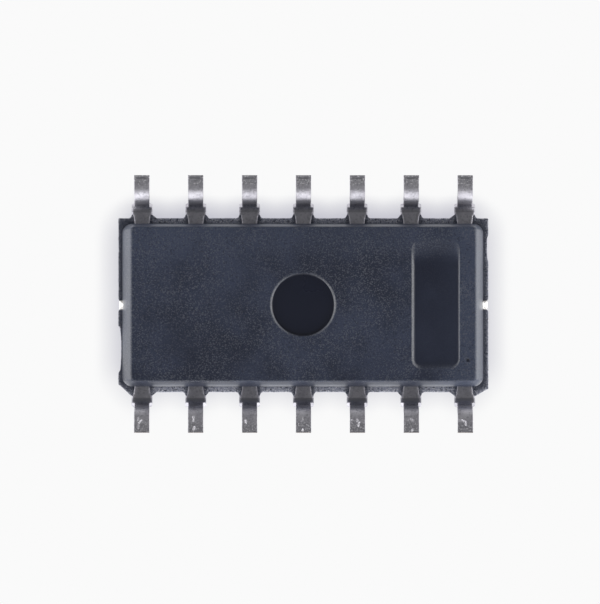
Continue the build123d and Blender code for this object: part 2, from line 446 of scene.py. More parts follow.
@dataclass(frozen=True)
class PunchedResin:
    """Thin resin plate between the leads: smooth and dark by the body, pale and broken at its edge, with
    painted shade by the necks, on the -Y side and at the ends.
    """

    smooth: Colour = (0.022, 0.028, 0.050)
    broken: Colour = (0.325, 0.34, 0.42)
    pale: Colour = (0.63, 0.63, 0.67)
    roughness: float = 0.62
    grain_size: float = 0.030 * MM
    light_share: float = 0.18
    dark_share: float = 0.16
    dark_strength: float = 0.8
    relief: float = 0.012 * MM

    def build(self, effects: Effects) -> bpy.types.Material:
        """Makes the material.

        Args:
            effects: The shared groups.

        Returns:
            The material. It reads the mesh's edge value.
        """
        look = Surface("punched resin", effects, {"Roughness": self.roughness})
        graph = look.graph
        specks = look.effect(effects.speckle, Size=self.grain_size, Light_share=self.light_share,
                             Dark_share=self.dark_share)
        edge = look.attribute("edge")
        # The edge value holds the broken edge's paleness and painted shade: where it is low the plate keeps
        # the smooth dark colour.
        base = graph.mix(edge, self.smooth, self.broken)
        base = graph.mix(graph.times(specks["Light"], edge), base, self.pale)
        base = graph.mix(graph.times(specks["Dark"], self.dark_strength), base, self.smooth)
        look.paint("Base Color", base)
        look.bump(specks["Height"], self.relief)
        return look.material


@dataclass(frozen=True)
class LeadRow:
    """Where the leads stand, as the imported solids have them."""

    per_side: int = 7
    pitch: float = 1.27

    @property
    def places(self) -> list[float]:
        """X of each lead along one side."""
        return [self.pitch * (i - (self.per_side - 1) / 2) for i in range(self.per_side)]

    def distance(self, x: np.ndarray) -> np.ndarray:
        """How far each X is from the middle of the nearest lead."""
        return np.min(np.abs(x[:, None] - np.array(self.places)[None, :]), axis=1)


@dataclass(frozen=True)
class Scrape:
    """A scrape on a sole of the +Y row. X is from the middle of its lead, Y from the middle of the body."""

    lead: int
    start: Pair
    end: Pair
    depth: float


SCRAPES = (
    Scrape(0, (-0.081, 2.695), (-0.081, 2.742), 0.5), Scrape(0, (-0.062, 2.806), (-0.008, 2.750), 1.0),
    Scrape(0, (-0.077, 2.841), (-0.077, 2.935), 0.35), Scrape(1, (-0.053, 2.653), (-0.053, 2.768), 0.85),
    Scrape(1, (-0.025, 2.900), (-0.044, 2.971), 0.9), Scrape(2, (-0.099, 2.750), (-0.082, 2.815), 0.75),
    Scrape(3, (-0.019, 2.650), (-0.019, 2.749), 0.35), Scrape(3, (-0.021, 2.952), (-0.021, 2.994), 0.9),
    Scrape(3, (0.120, 2.872), (0.122, 2.882), 0.3), Scrape(4, (-0.128, 2.740), (-0.120, 2.744), 0.5),
    Scrape(4, (-0.005, 2.723), (-0.010, 2.768), 0.5), Scrape(4, (0.035, 2.801), (0.023, 2.890), 0.9),
    Scrape(5, (-0.013, 2.709), (0.025, 2.747), 0.5), Scrape(5, (-0.082, 2.740), (-0.076, 2.744), 0.3),
    Scrape(5, (0.027, 2.966), (0.015, 2.994), 0.9), Scrape(6, (-0.148, 2.726), (-0.138, 2.764), 0.4),
    Scrape(6, (-0.072, 2.742), (-0.013, 2.773), 0.8), Scrape(6, (0.010, 2.792), (0.015, 2.858), 0.8),
)


@dataclass(frozen=True)
class PlatedMetal:
    """Matt tin over copper alloy, with a fine grain, dull clouds and bright scrapes on the soles."""

    base: Colour = (0.62, 0.61, 0.66)
    dull: Colour = (0.47, 0.46, 0.51)
    bright: Colour = (0.96, 0.95, 0.98)
    stained: Colour = (0.27, 0.27, 0.30)
    roughness: float = 0.41
    roughness_spread: Pair = (-0.03, 0.05)
    speckled_roughness: float = 0.22
    scraped_roughness: float = 0.42
    unworn_roughness: float = 0.07
    cloud_size: float = 0.30 * MM
    grain_size: float = 0.034 * MM
    light_share: float = 0.18
    light_by_wear: Pair = (0.2, 0.9)
    dark_share: float = 0.17
    dark_strength: float = 0.50
    relief: float = 0.0045 * MM
    relief_by_wear: Pair = (0.3, 1.0)
    row: LeadRow = LeadRow()
    scrapes: tuple[Scrape, ...] = SCRAPES
    scrape_width: float = 0.042 * MM
    scrape_relief: float = 0.013 * MM
    sole_heights: Pair = (0.02 * MM, 0.06 * MM)

    def build(self, effects: Effects) -> bpy.types.Material:
        """Makes the material.

        Args:
            effects: The shared groups.

        Returns:
            The material. It reads the mesh's wear and stain values; the stain value holds painted shade on
            the necks and bends, and other darkening.
        """
        look = Surface("tin plating", effects, {"Metallic": 1.0})
        graph = look.graph
        clouds = look.effect(effects.clouds, Size=self.cloud_size)
        specks = look.effect(effects.speckle, Size=self.grain_size, Light_share=self.light_share,
                             Dark_share=self.dark_share)
        on_sole = graph.ramp(graph.split(look.place)[2], *self.sole_heights, 1.0, 0.0)
        scraped = graph.times(self._scrapes(look), on_sole)
        base = graph.mix(clouds[0], self.base, self.dull)
        worn_and_sheen = look.attribute("wear")
        speckled = graph.times(specks["Light"], graph.ramp(worn_and_sheen, 0.0, 1.0, *self.light_by_wear))
        base = graph.mix(speckled, base, self.bright)
        base = graph.mix(graph.times(specks["Dark"], self.dark_strength), base, self.stained)
        # The stain value darkens the necks and bends as painted shade, and the stub sides, the groove and the
        # soles as well.
        base = graph.mix(look.attribute("stain"), base, self.stained)
        look.paint("Base Color", graph.mix(scraped, base, self.bright))
        cloudy = [self.roughness + change for change in self.roughness_spread]
        rough = graph.ramp(clouds[0], 0.0, 1.0, *cloudy)
        rough = graph.math("MULTIPLY_ADD", speckled, self.speckled_roughness, rough)
        rough = graph.plus(rough, graph.ramp(worn_and_sheen, 0.0, 1.0, self.unworn_roughness, 0.0))
        look.paint("Roughness", graph.math("MULTIPLY_ADD", scraped, self.scraped_roughness, rough))
        deep = graph.times(scraped, -self.scrape_relief / self.relief)
        grain = graph.times(specks["Height"], graph.ramp(worn_and_sheen, 0.0, 1.0, *self.relief_by_wear))
        look.bump(graph.plus(deep, grain), self.relief)
        return look.material

    def _scrapes(self, look: Surface) -> Socket:
        """Every scrape of the soles as one mask.

        Args:
            look: The material that is being built.

        Returns:
            The mask's socket.
        """
        mask = None
        for mark in self.scrapes:
            shift = self.row.places[mark.lead]
            start = ((shift + mark.start[0]) * MM, mark.start[1] * MM, 0.0)
            along = ((mark.end[0] - mark.start[0]) * MM, (mark.end[1] - mark.start[1]) * MM, 0.0)
            stroke = look.effect(look.effects.scrape, From=start, Along=along, Width=self.scrape_width)
            deep = look.graph.times(stroke[0], mark.depth)
            mask = look.graph.math("MAXIMUM", mask, deep) if mask else deep
        return mask


@dataclass(frozen=True)
class GrainedMetal:
    """Bare metal or filled adhesive with one colour, a fine grain and soft clouds."""

    name: str
    base: Colour
    dull: Colour
    roughness: float
    metallic: float = 1.0
    roughness_spread: float = 0.08
    cloud_size: float = 0.25 * MM
    cloud_shift: float = 0.01
    grain_size: float = 0.02 * MM
    light_share: float = 0.12
    dark_share: float = 0.10
    relief: float = 0.002 * MM

    def build(self, effects: Effects) -> bpy.types.Material:
        """Makes the material.

        Args:
            effects: The shared groups.

        Returns:
            The material.
        """
        look = Surface(self.name, effects, {"Metallic": self.metallic})
        graph = look.graph
        clouds = look.effect(effects.clouds, Size=self.cloud_size, Shift=self.cloud_shift)
        specks = look.effect(effects.speckle, Size=self.grain_size, Light_share=self.light_share,
                             Dark_share=self.dark_share)
        base = graph.mix(clouds[0], self.base, self.dull)
        look.paint("Base Color", graph.mix(specks["Dark"], base, self.dull))
        cloudy = graph.ramp(clouds[0], 0.0, 1.0, self.roughness, self.roughness + self.roughness_spread)
        look.paint("Roughness", cloudy)
        look.bump(specks["Height"], self.relief)
        return look.material


@dataclass(frozen=True)
class Finishes:
    """Every finish of the chip."""

    resin: MouldedResin = MouldedResin()
    flash: PunchedResin = PunchedResin()
    tin: PlatedMetal = PlatedMetal()
    cut: GrainedMetal = GrainedMetal("cut copper alloy", (0.62, 0.45, 0.37), (0.52, 0.45, 0.41), 0.42)
    bar: GrainedMetal = GrainedMetal("sheared tie bar", (0.88, 0.87, 0.86), (0.74, 0.72, 0.70), 0.30)
    adhesive: GrainedMetal = GrainedMetal(
        "silver filled adhesive", (0.55, 0.55, 0.53), (0.34, 0.34, 0.33), 0.48, 0.6
    )
    silicon: GrainedMetal = GrainedMetal("silicon", (0.17, 0.18, 0.21), (0.12, 0.13, 0.16), 0.16, 0.7)
    gold: GrainedMetal = GrainedMetal("gold wire", (0.92, 0.68, 0.30), (0.80, 0.56, 0.24), 0.22)

    def build(self) -> Materials:
        """Makes every material, by the name of its field."""
        effects = Effects()
        return {part.name: getattr(self, part.name).build(effects) for part in fields(self)}


# Meshes


class SurfaceBuilder:
    """Collects the loops and faces of one closed mesh, in millimetres."""

    def __init__(self) -> None:
        """Starts empty."""
        self.points: list[np.ndarray] = []
        self.values: dict[str, list[np.ndarray]] = {"polish": [], "edge": []}
        self.faces: list[tuple[int, ...]] = []
        self.finishes: list[int] = []
        self.count = 0

    def loop(self, plan: np.ndarray, height: float | np.ndarray, polish: float = 0.0,
             edge: float | np.ndarray = 0.0) -> np.ndarray:
        """Adds a closed loop of points that runs anticlockwise as seen from above.

        Args:
            plan: X and Y of each point.
            height: Z, one for all or one each.
            polish: How smooth the resin is here.
            edge: How pale it is here, one for all or one each: painted sheen on walls and lips, and on the
                resin plate its broken edge with painted shade.

        Returns:
            The points' indices.
        """
        size = len(plan)
        heights = np.broadcast_to(height, size)
        self.points.append(np.column_stack([plan, heights]))
        self.values["polish"].append(np.full(size, polish))
        self.values["edge"].append(np.broadcast_to(edge, size))
        self.count += size
        return np.arange(self.count - size, self.count)

    def band(self, first: np.ndarray, second: np.ndarray, finish: int = 0) -> None:
        """Joins two loops. Seen along the way from first to second, outside is on the right of the run.

        Args:
            first: Indices of one loop.
            second: Indices of the next loop.
            finish: Material index.
        """
        quads = np.column_stack([first, np.roll(first, -1), np.roll(second, -1), second])
        self.faces.extend(map(tuple, quads.tolist()))
        self.finishes.extend([finish] * len(quads))

    def bands(self, loops: Sequence[np.ndarray], finish: int = 0, turned: bool = False) -> None:
        """Joins each loop to the next one, with the outside on the right, or turned to the left."""
        for first, second in zip(loops, loops[1:]):
            self.band(*((second, first) if turned else (first, second)), finish)

    def cap(self, loops: Sequence[np.ndarray], up: bool, finish: int = 0) -> None:
        """Fills a flat area inside the first loop and outside the others.

        Args:
            loops: Indices of the outer loop, then of the holes.
            up: Whether it faces up.
            finish: Material index.
        """
        points = np.concatenate(self.points)
        rows = [[Vector((*points[i][:2], 0.0)) for i in loop] for loop in loops]
        index = np.concatenate(loops)
        flat = points[index][:, :2]
        for a, b, c in tessellate_polygon(rows):
            ahead, side = flat[b] - flat[a], flat[c] - flat[a]
            faces_up = ahead[0] * side[1] - ahead[1] * side[0] > 0
            corners = (a, b, c) if faces_up == up else (a, c, b)
            self.faces.append(tuple(int(index[i]) for i in corners))
            self.finishes.append(finish)

    def finish(self, name: str, materials: Sequence[bpy.types.Material],
               sharp_angle: float) -> bpy.types.Object:
        """Makes the object.

        Args:
            name: Its name.
            materials: Its materials, in the order of the faces' indices.
            sharp_angle: Edges that turn by more stay sharp, in degrees.

        Returns:
            The object, in metres at the origin.
        """
        mesh = bpy.data.meshes.new(name)
        mesh.from_pydata((np.concatenate(self.points) * MM).tolist(), [], self.faces)
        for key, parts in self.values.items():
            attribute = mesh.attributes.new(key, "FLOAT", "POINT")
            attribute.data.foreach_set("value", np.concatenate(parts).astype(np.float32))
        for material in materials:
            mesh.materials.append(material)
        mesh.polygons.foreach_set("material_index", self.finishes)
        mesh.shade_smooth()
        mesh.set_sharp_from_angle(angle=math.radians(sharp_angle))
        mesh.validate()
        return place_object(name, mesh)


def place_object(name: str, data: bpy.types.ID) -> bpy.types.Object:
    """Puts a mesh, light or camera in the scene as an object at the origin."""
    made = bpy.data.objects.new(name, data)
    bpy.context.scene.collection.objects.link(made)
    return made


def face_outwards(mesh: bpy.types.Mesh) -> None:
    """Turns the faces of a closed mesh outwards.

    Args:
        mesh: The mesh, which is changed in place.
    """
    shape = bmesh.new()
    shape.from_mesh(mesh)
    bmesh.ops.recalc_face_normals(shape, faces=shape.faces)
    shape.to_mesh(mesh)
    shape.free()


def rounded_path(points: Sequence[Pair], radius: float, steps: int = 4) -> list[Pair]:
    """Rounds the inner corners of an open line.

    Args:
        points: The line's corners.
        radius: Radius of every inner corner.
        steps: Pieces in each arc.

    Returns:
        The rounded line.
    """
    line = [points[0]]
    for before, corner, after in zip(points, points[1:], points[2:]):
        here = Vector(corner)
        back = (Vector(before) - here).normalized()
        ahead = (Vector(after) - here).normalized()
        half = math.acos(max(-1.0, min(1.0, back.dot(ahead)))) / 2
        reach = radius / math.tan(half)
        start, end = here + back * reach, here + ahead * reach
        centre = here + (back + ahead).normalized() * (radius / math.sin(half))
        for i in range(steps + 1):
            way = start.lerp(end, i / steps) - centre
            line.append(tuple(centre + way.normalized() * radius))
    return [*line, points[-1]]


def circle(centre: Pair, radius: float, steps: int) -> np.ndarray:
    """Points of a circle in plan, anticlockwise."""
    turn = np.linspace(0.0, 2.0 * np.pi, steps, endpoint=False)
    return np.column_stack([centre[0] + radius * np.cos(turn), centre[1] + radius * np.sin(turn)])


def eased(share: float | np.ndarray) -> float | np.ndarray:
    """A share from 0 to 1 that starts and ends softly."""
    return share * share * (3 - 2 * share)


class WallSide(Enum):
    """The sides of the body in the order of its outline, each with the turn of its outward direction."""

    NEAR = -90
    RIGHT = 0
    FAR = 90
    LEFT = 180


@dataclass(frozen=True)
class Stations:
    """How many points the body's outline has. Every loop round the body has the same ones."""

    along: int = 430
    across: int = 200
    corner: int = 9

    @property
    def runs(self) -> list[tuple[WallSide, int]]:
        """Each side with how many points it has before its corner."""
        return list(zip(WallSide, (self.along, self.across, self.along, self.across)))

    def fan(self, turn: float) -> np.ndarray:
        """Outward directions round a corner, from an angle a quarter turn on."""
        arc = turn + np.linspace(0.0, np.pi / 2, self.corner, endpoint=False)
        return np.column_stack([np.cos(arc), np.sin(arc)])

    def walk(self, corners: Sequence[Pair], radius: float) -> np.ndarray:
        """Points of a four sided outline with rounded corners.

        Args:
            corners: Its corners, anticlockwise from the one at -X and -Y.
            radius: Radius of the corners.

        Returns:
            The points, from the start of the near side on.
        """
        centres = [np.array((x - math.copysign(radius, x), y - math.copysign(radius, y))) for x, y in corners]
        rows = []
        for (side, count), start, end in zip(self.runs, centres, [*centres[1:], centres[0]]):
            turn = math.radians(side.value)
            out = np.array((math.cos(turn), math.sin(turn))) * radius
            share = np.linspace(0.0, 1.0, count, endpoint=False)[:, None]
            rows.append(start + out + (end - start) * share)
            rows.append(end + radius * self.fan(turn))
        return np.concatenate(rows)

    def rectangle(self, half_length: float, half_width: float, radius: float) -> np.ndarray:
        """Points of a rounded rectangle about the middle."""
        corners = [(-half_length, -half_width), (half_length, -half_width),
                   (half_length, half_width), (-half_length, half_width)]
        return self.walk(corners, radius)

    @property
    def total(self) -> int:
        """Points in every loop."""
        return 2 * (self.along + self.across + 2 * self.corner)


@dataclass(frozen=True)
class MouldedBody:
    """The epoxy body with the resin plate that set between its leads, and the marks of its mould."""

    # Body
    row: LeadRow = LeadRow()
    stations: Stations = Stations()
    half_length: float = 4.275
    half_width: float = 1.925
    bottom: float = 0.15
    frame_bottom: float = 0.80
    frame_top: float = 0.98
    top: float = 1.60
    lower_end_draft: float = 17.0
    upper_end_draft: float = 10.0
    side_draft: float = 8.0
    right_end_in: float = 0.026
    parting_corner: float = 0.24
    face_corner: float = 0.11
    face_round: float = 0.050
    face_ring: float = 0.012
    wall_rings: int = 7
    round_rings: int = 6
    sharp_angle: float = 38.0
    seed: int = 7

    # Painted sheen on its walls, as the pale backdrop would show in them
    rubbed_near: float = 0.30
    rubbed_far: float = 1.0
    rubbed_ends: Pair = (0.22, 0.29)
    rubbed_top: float = 0.03
    rubbed_by_bar: float = 0.13
    bar_fade: float = 0.03
    rub_falloff: int = 3
    long_side_from: float = 0.92
    neck_shade: Pair = (0.215, 0.295)

    # Resin plate. A row of its profile has the share of the way out, the rise from its face and the break
    flash_side: float = 0.135
    flash_end: float = 0.10
    flash_recess: float = 0.015
    flash_corner: float = 0.04
    flash_reach: float = 0.235
    flash_profile: tuple[Triple, ...] = (
        (0.15, 0.0, 0.05), (0.45, 0.0, 0.15), (0.80, 0.0, 0.5), (0.97, 0.010, 1.0), (1.0, 0.035, 1.0),
    )
    flash_root_wear: float = 0.1
    punch_corner: float = 0.085
    stub_half: float = 0.245
    corner_cut_left: float = 0.30
    corner_cut_right: float = 0.185
    tie_bar_half: float = 0.105
    notch_round: float = 0.05
    crumble: float = 0.012
    crumble_length: float = 0.035
    crumble_shares: Pair = (0.45, 0.55)
    bulge: float = 0.012
    chips: tuple[Ramp, ...] = ((-1.0, 0.50, 1.60, 0.068), (1.0, -1.66, -1.05, 0.030))
    chip_bluntness: float = 0.3
    plate_long: float = 0.85
    plate_ends: Pair = (0.22, 0.42)
    plate_chip: float = 0.40
    plate_by_neck: float = 0.2
    near_fade: Pair = (0.6, 0.5)
    end_fade: Pair = (0.2, 2.0)

    # Marks of the mould
    ejector_place: Pair = (-0.010, 0.012)
    ejector_radius: float = 0.7265
    ejector_rim: float = 0.015
    ejector_rings: Pair = (0.05, 0.06)
    ejector_round: float = 0.016
    ejector_depth: float = 0.070
    ejector_worn: float = 0.82
    ejector_steps: int = 128
    rim_fade: float = 1.8
    rim_worn_to: float = 0.75
    pit_place: Pair = (3.875, 1.31)
    pit_radius: float = 0.060
    pit_depth: float = 0.034
    pit_polish: float = 0.8
    pit_rings: tuple[float, ...] = (0, 0.15, 0.4, 0.7, 0.9)
    pit_steps: int = 20
    dimple_place: Pair = (-3.5657, -1.2379)
    dimple_radius: float = 0.30
    dimple_rings: Pair = (0.04, 0.05)
    dimple_wall: float = 0.012
    dimple_round: float = 0.010
    dimple_depth: float = 0.05
    dimple_polish: float = 0.7
    dimple_steps: int = 72
    pocket_centre: float = 3.116
    pocket_half_width: float = 0.560
    pocket_half_length: float = 1.535
    pocket_stations: Stations = Stations(60, 90, 10)
    pocket_corner: float = 0.26
    pocket_floor_corner: float = 0.09
    pocket_sides_in: Pair = (0.085, 0.040)
    pocket_ends_in: Pair = (0.62, 0.16)
    pocket_ring: float = 0.017
    pocket_rings: tuple[float, ...] = (0.0, 0.06, 0.15, 0.27, 0.40, 0.53, 0.67, 0.80, 0.91, 1.0)
    pocket_depth: float = 0.040
    pocket_polish: float = 0.62
    pocket_worn: Triple = (0.76, 0.47, 0.03)
    pocket_side_fade: Pair = (0.62, 0.36)
    pocket_near_fade: Pair = (0.05, 0.36)
    pocket_down_fade: Pair = (2.4, 4.0)

    def build(self, materials: Materials) -> bpy.types.Object:
        """Makes the body in place of its plain solid.

        Args:
            materials: The finishes by name.

        Returns:
            The body.
        """
        shell = SurfaceBuilder()
        lower = self._half(shell, self.frame_bottom, self.bottom, self.lower_end_draft)
        upper = self._half(shell, self.frame_top, self.top, self.upper_end_draft)
        shell.bands(lower[::-1])
        shell.bands([lower[0], *self._flash(shell), upper[0]], 1)
        shell.bands(upper)
        underside = [self._ejector_mark(shell), self._pocket(shell), self._pit(shell)]
        shell.cap([lower[-1], *underside], up=False)
        shell.cap([upper[-1], self._dimple(shell)], up=True)
        body = shell.finish("moulded_body", [materials["resin"], materials["flash"]], self.sharp_angle)
        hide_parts("mold_compound")
        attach(body, BODY)
        log.info("moulded body: %d faces", len(body.data.polygons))
        return body

    def _half(self, shell: SurfaceBuilder, start: float, face: float, end_draft: float) -> list[np.ndarray]:
        """Rings of half the body, from the lead frame out to its face.

        Args:
            shell: Where the rings go.
            start: Height at the lead frame.
            face: Height of the face.
            end_draft: Draft of the two ends, in degrees.

        Returns:
            The rings' indices.
        """
        away = math.copysign(1.0, face - start)
        depth = abs(face - start)
        end_lean = math.tan(math.radians(end_draft))
        side_lean = math.tan(math.radians(self.side_draft))
        shares = np.linspace(0, 1, self.wall_rings)
        levels = [(share * (depth - self.face_round), 0.0, 1.0) for share in shares]
        for turn in np.linspace(90 / self.round_rings, 90, self.round_rings):
            angle = math.radians(turn)
            level = depth - self.face_round * (1 - math.sin(angle))
            levels.append((level, self.face_round * (1 - math.cos(angle)), max(0.0, math.cos(angle))))
        levels.append((depth, self.face_round + self.face_ring, 0.0))
        rings = []
        for level, inset, upright in levels:
            corner = self.parting_corner + (self.face_corner - self.parting_corner) * level / depth
            half_length = self.half_length - level * end_lean - inset
            half_width = self.half_width - level * side_lean - inset
            plan = self.stations.rectangle(half_length, half_width, corner)
            towards_parting = 1.0 - level / depth
            self._pull_in(plan, towards_parting)
            # This wear value is a painted sheen: on the lower walls as the pale backdrop would show in them,
            # on the upper walls a faint even one.
            wear = self._wall_wear(plan, towards_parting) if away < 0 else self.rubbed_top
            rings.append(shell.loop(plan, start + away * level, edge=upright * wear))
        return rings

    def _pull_in(self, plan: np.ndarray, share: float) -> None:
        """Moves the +X end in a little, as it stands at the parting line."""
        plan[:, 0] *= np.where(plan[:, 0] > 0, 1.0 - share * self.right_end_in / self.half_length, 1.0)

    def _between_leads(self, x: np.ndarray) -> np.ndarray:
        """From 0 beside a lead's neck to 1 between the leads."""
        start, end = self.neck_shade
        return np.clip((self.row.distance(x) - start) / (end - start), 0.0, 1.0)

    def _wall_wear(self, plan: np.ndarray, towards_parting: float) -> np.ndarray:
        """Painted sheen on a wall, as the pale backdrop would show in it: palest on the long sides, by the
        parting line and between the leads.

        Args:
            plan: Places on the wall.
            towards_parting: From 0 at the face to 1 at the parting line.

        Returns:
            The painted sheen at each place.
        """
        fade = towards_parting**self.rub_falloff
        rubbed = np.where(plan[:, 1] < 0, self.rubbed_near, self.rubbed_far) * fade
        on_long = rubbed * self._between_leads(plan[:, 0])
        by_bar = np.clip((self.rubbed_by_bar - np.abs(plan[:, 1])) / self.bar_fade, 0.0, 1.0) * fade
        ends = np.where(plan[:, 0] < 0, *self.rubbed_ends)
        on_end = ends + (1.0 - ends) * by_bar
        return np.where(np.abs(plan[:, 1]) > self.long_side_from * self.half_width, on_long, on_end)

    def _plate_wear(self, plan: np.ndarray, edge: np.ndarray, broken: float) -> np.ndarray:
        """How pale the broken resin plate is on each side, with painted shade beside the necks, on the -Y
        side and by the body at the ends.

        Args:
            plan: Places on the plate.
            edge: The place on the plate's outline that is straight out from each.
            broken: From 0 by the body to 1 at the outline.

        Returns:
            The paleness at each place, with the painted shade in it.
        """
        ends = np.where(edge[:, 0] < 0, *self.plate_ends)
        for side, low, high, _ in self.chips:
            in_chip = (edge[:, 0] * side > 0) & (edge[:, 1] > low) & (edge[:, 1] < high)
            ends = np.where(in_chip, self.plate_chip, ends)
        # Painted shade: darker beside the necks, on the -Y side and by the body at the ends.
        clear = self.plate_by_neck + (1.0 - self.plate_by_neck) * self._between_leads(plan[:, 0])
        on_long = self.plate_long * clear
        near, at_end = (fade[0] + fade[1] * broken for fade in (self.near_fade, self.end_fade))
        past_leads = np.abs(edge[:, 0]) > self.row.places[-1] + self.neck_shade[1]
        return np.where(past_leads, ends * at_end, on_long * np.where(edge[:, 1] < 0, near, 1.0))

    def _scallop(self, x: np.ndarray, far: bool) -> np.ndarray:
        """How far out the resin plate reaches along a long side, where the punch left it.

        Args:
            x: Places along the side.
            far: Whether it is the +Y side, whose corners are cut at a slant.

        Returns:
            Distance from the middle of the body.
        """
        edge = self.half_width + self.flash_side
        reach = self.half_width + self.flash_reach
        into = np.clip(self.stub_half + self.punch_corner - self.row.distance(x), 0.0, self.punch_corner)
        y = edge + self.punch_corner - np.sqrt(self.punch_corner**2 - into**2)
        y = np.minimum(y, reach)
        if far:
            stub_side = self.row.places[-1] + self.stub_half
            run = self.half_length + self.flash_end - stub_side
            cut = np.where(x < 0, self.corner_cut_left, self.corner_cut_right)
            y = np.where(np.abs(x) > stub_side, reach - (np.abs(x) - stub_side) / run * cut, y)
        return y

    def _flash_outline(self) -> tuple[np.ndarray, np.ndarray]:
        """Outline of the resin plate.

        Returns:
            Its points, and the outward direction at each.
        """
        half = self.half_length + self.flash_end
        inner = half - self.flash_corner
        near = self.half_width + self.flash_side
        left, right = self._scallop(np.array([-inner, inner]), True)
        corners = [(-half, -near), (half, -near), (half, right), (-half, left)]
        plan = self.stations.walk(corners, self.flash_corner)
        out = np.zeros_like(plan)
        start = 0
        for side, count in self.stations.runs:
            end = start + count
            rows = slice(start, end)
            turn = math.radians(side.value)
            out[rows] = (math.cos(turn), math.sin(turn))
            out[end:end + self.stations.corner] = self.stations.fan(turn)
            if side is WallSide.NEAR:
                plan[rows, 1] = -self._scallop(plan[rows, 0], False)
            elif side is WallSide.FAR:
                plan[rows, 1] = self._scallop(plan[rows, 0], True)
            else:
                plan[rows, 0] -= self._notch(plan[rows, 1]) * math.copysign(1.0, out[start, 0])
            start = end + self.stations.corner
        for side, low, high, depth in self.chips:
            rows = (plan[:, 0] * side > self.half_length) & (plan[:, 1] > low) & (plan[:, 1] < high)
            share = (plan[rows, 1] - low) / (high - low)
            plan[rows, 0] -= side * depth * np.sin(np.pi * share) ** self.chip_bluntness
        return plan, out

    def _notch(self, y: np.ndarray) -> np.ndarray:
        """How far the resin stands back round a tie bar, with rounded mouths.

        Args:
            y: Places along an end of the plate.

        Returns:
            The distance at each place.
        """
        into = np.clip((self.tie_bar_half + self.notch_round - np.abs(y)) / self.notch_round, 0.0, 1.0)
        rounded = self.notch_round * (1.0 - np.sqrt(1.0 - into**2))
        return np.where(np.abs(y) < self.tie_bar_half, self.flash_end, np.minimum(rounded, self.flash_end))

    def _crumbs(self, random: np.random.Generator, length: float) -> np.ndarray:
        """Uneven values from 0 to 1 round the outline.

        Args:
            random: Where the values come from.
            length: About how far apart they are.

        Returns:
            A value for each point of a loop.
        """
        around = 2 * (2 * self.half_length + 2 * self.half_width)
        knots = int(around / length)
        values = random.random(knots)
        place = np.linspace(0, knots, self.stations.total, endpoint=False)
        low = place.astype(int)
        share = eased(place - low)
        return values[low] * (1 - share) + values[(low + 1) % knots] * share

    def _flash(self, shell: SurfaceBuilder) -> list[np.ndarray]:
        """Rings of the resin plate, from the body out along its underside, round its edge and back.

        Args:
            shell: Where the rings go.

        Returns:
            The rings' indices.
        """
        random = np.random.default_rng(self.seed)
        base = self.stations.rectangle(self.half_length, self.half_width, self.parting_corner)
        self._pull_in(base, 1.0)
        edge, out = self._flash_outline()
        low = self.frame_bottom + self.flash_recess
        high = self.frame_top - self.flash_recess
        middle = (low + high) / 2
        below = [(share, low + rise, broken) for share, rise, broken in self.flash_profile]
        above = [(share, high - rise, broken) for share, rise, broken in self.flash_profile[:0:-1]]
        rings = [shell.loop(base, low, edge=self.flash_root_wear)]
        coarse = self._crumbs(random, self.crumble_length * 3)
        coarse_share, fine_share = self.crumble_shares
        for share, height, broken in [*below, (1.0, middle, 1.0), *above]:
            fine = self._crumbs(random, self.crumble_length)
            inward = self.crumble * (coarse_share * coarse + fine_share * fine) * broken
            plan = base + (edge - base) * share - out * inward[:, None]
            bulge = (self._crumbs(random, self.crumble_length) - 0.5) * self.bulge * broken
            heights = height + np.sign(middle - height) * np.abs(bulge)
            rings.append(shell.loop(plan, heights, edge=self._plate_wear(plan, edge, broken)))
        rings.append(shell.loop(base, high, edge=self.flash_root_wear))
        return rings

    def _round_recess(self, shell: SurfaceBuilder, centre: Pair, profile: Sequence[Pair], face: float,
                      deep_polish: float, steps: int, rim_sheen: float = 0.0) -> np.ndarray:
        """A round mark sunk into the underside or the top.

        Args:
            shell: Where it goes.
            centre: Its place in plan.
            profile: Radius and depth, from its lip to its floor.
            face: Height of the face that it is sunk into.
            deep_polish: How smooth its floor is.
            steps: Points round it.
            rim_sheen: How much painted sheen its lip has at the two ends, along X.

        Returns:
            Indices of its lip, the hole in the face.
        """
        up = face > self.frame_top
        into = -1.0 if up else 1.0
        depth = profile[-1][1]
        around = np.abs(np.cos(np.linspace(0.0, 2.0 * np.pi, steps, endpoint=False))) ** self.rim_fade
        loops = []
        for radius, sunk in profile:
            low = min(1.0, sunk / depth)
            # Painted sheen on the lip, strongest at its two ends along X.
            worn_and_sheen = rim_sheen * around * (low < self.rim_worn_to) * (radius < profile[0][0])
            plan = circle(centre, radius, steps)
            loops.append(shell.loop(plan, face + into * sunk, deep_polish * low, worn_and_sheen))
        shell.bands(loops, turned=not up)
        shell.cap([loops[-1]], up=up)
        return loops[0]

    def _ejector_mark(self, shell: SurfaceBuilder) -> np.ndarray:
        """The round mark of the ejector pin in the middle of the underside.

        Args:
            shell: Where it goes.

        Returns:
            Indices of its lip.
        """
        radius, depth = self.ejector_radius, self.ejector_depth
        lip_ring, floor_ring = self.ejector_rings
        lip = radius + self.ejector_rim
        corners = [(lip + lip_ring, 0.0), (lip, 0.0), (radius, depth), (radius - floor_ring, depth)]
        profile = rounded_path(corners, self.ejector_round)
        return self._round_recess(
            shell, self.ejector_place, profile, self.bottom, 1.0, self.ejector_steps, self.ejector_worn
        )

    def _pit(self, shell: SurfaceBuilder) -> np.ndarray:
        """A small void in the underside, near the pocket.

        Args:
            shell: Where it goes.

        Returns:
            Indices of its lip.
        """
        profile = [(self.pit_radius * (1 - share), self.pit_depth * share**0.5) for share in self.pit_rings]
        return self._round_recess(
            shell, self.pit_place, profile, self.bottom, self.pit_polish, self.pit_steps
        )

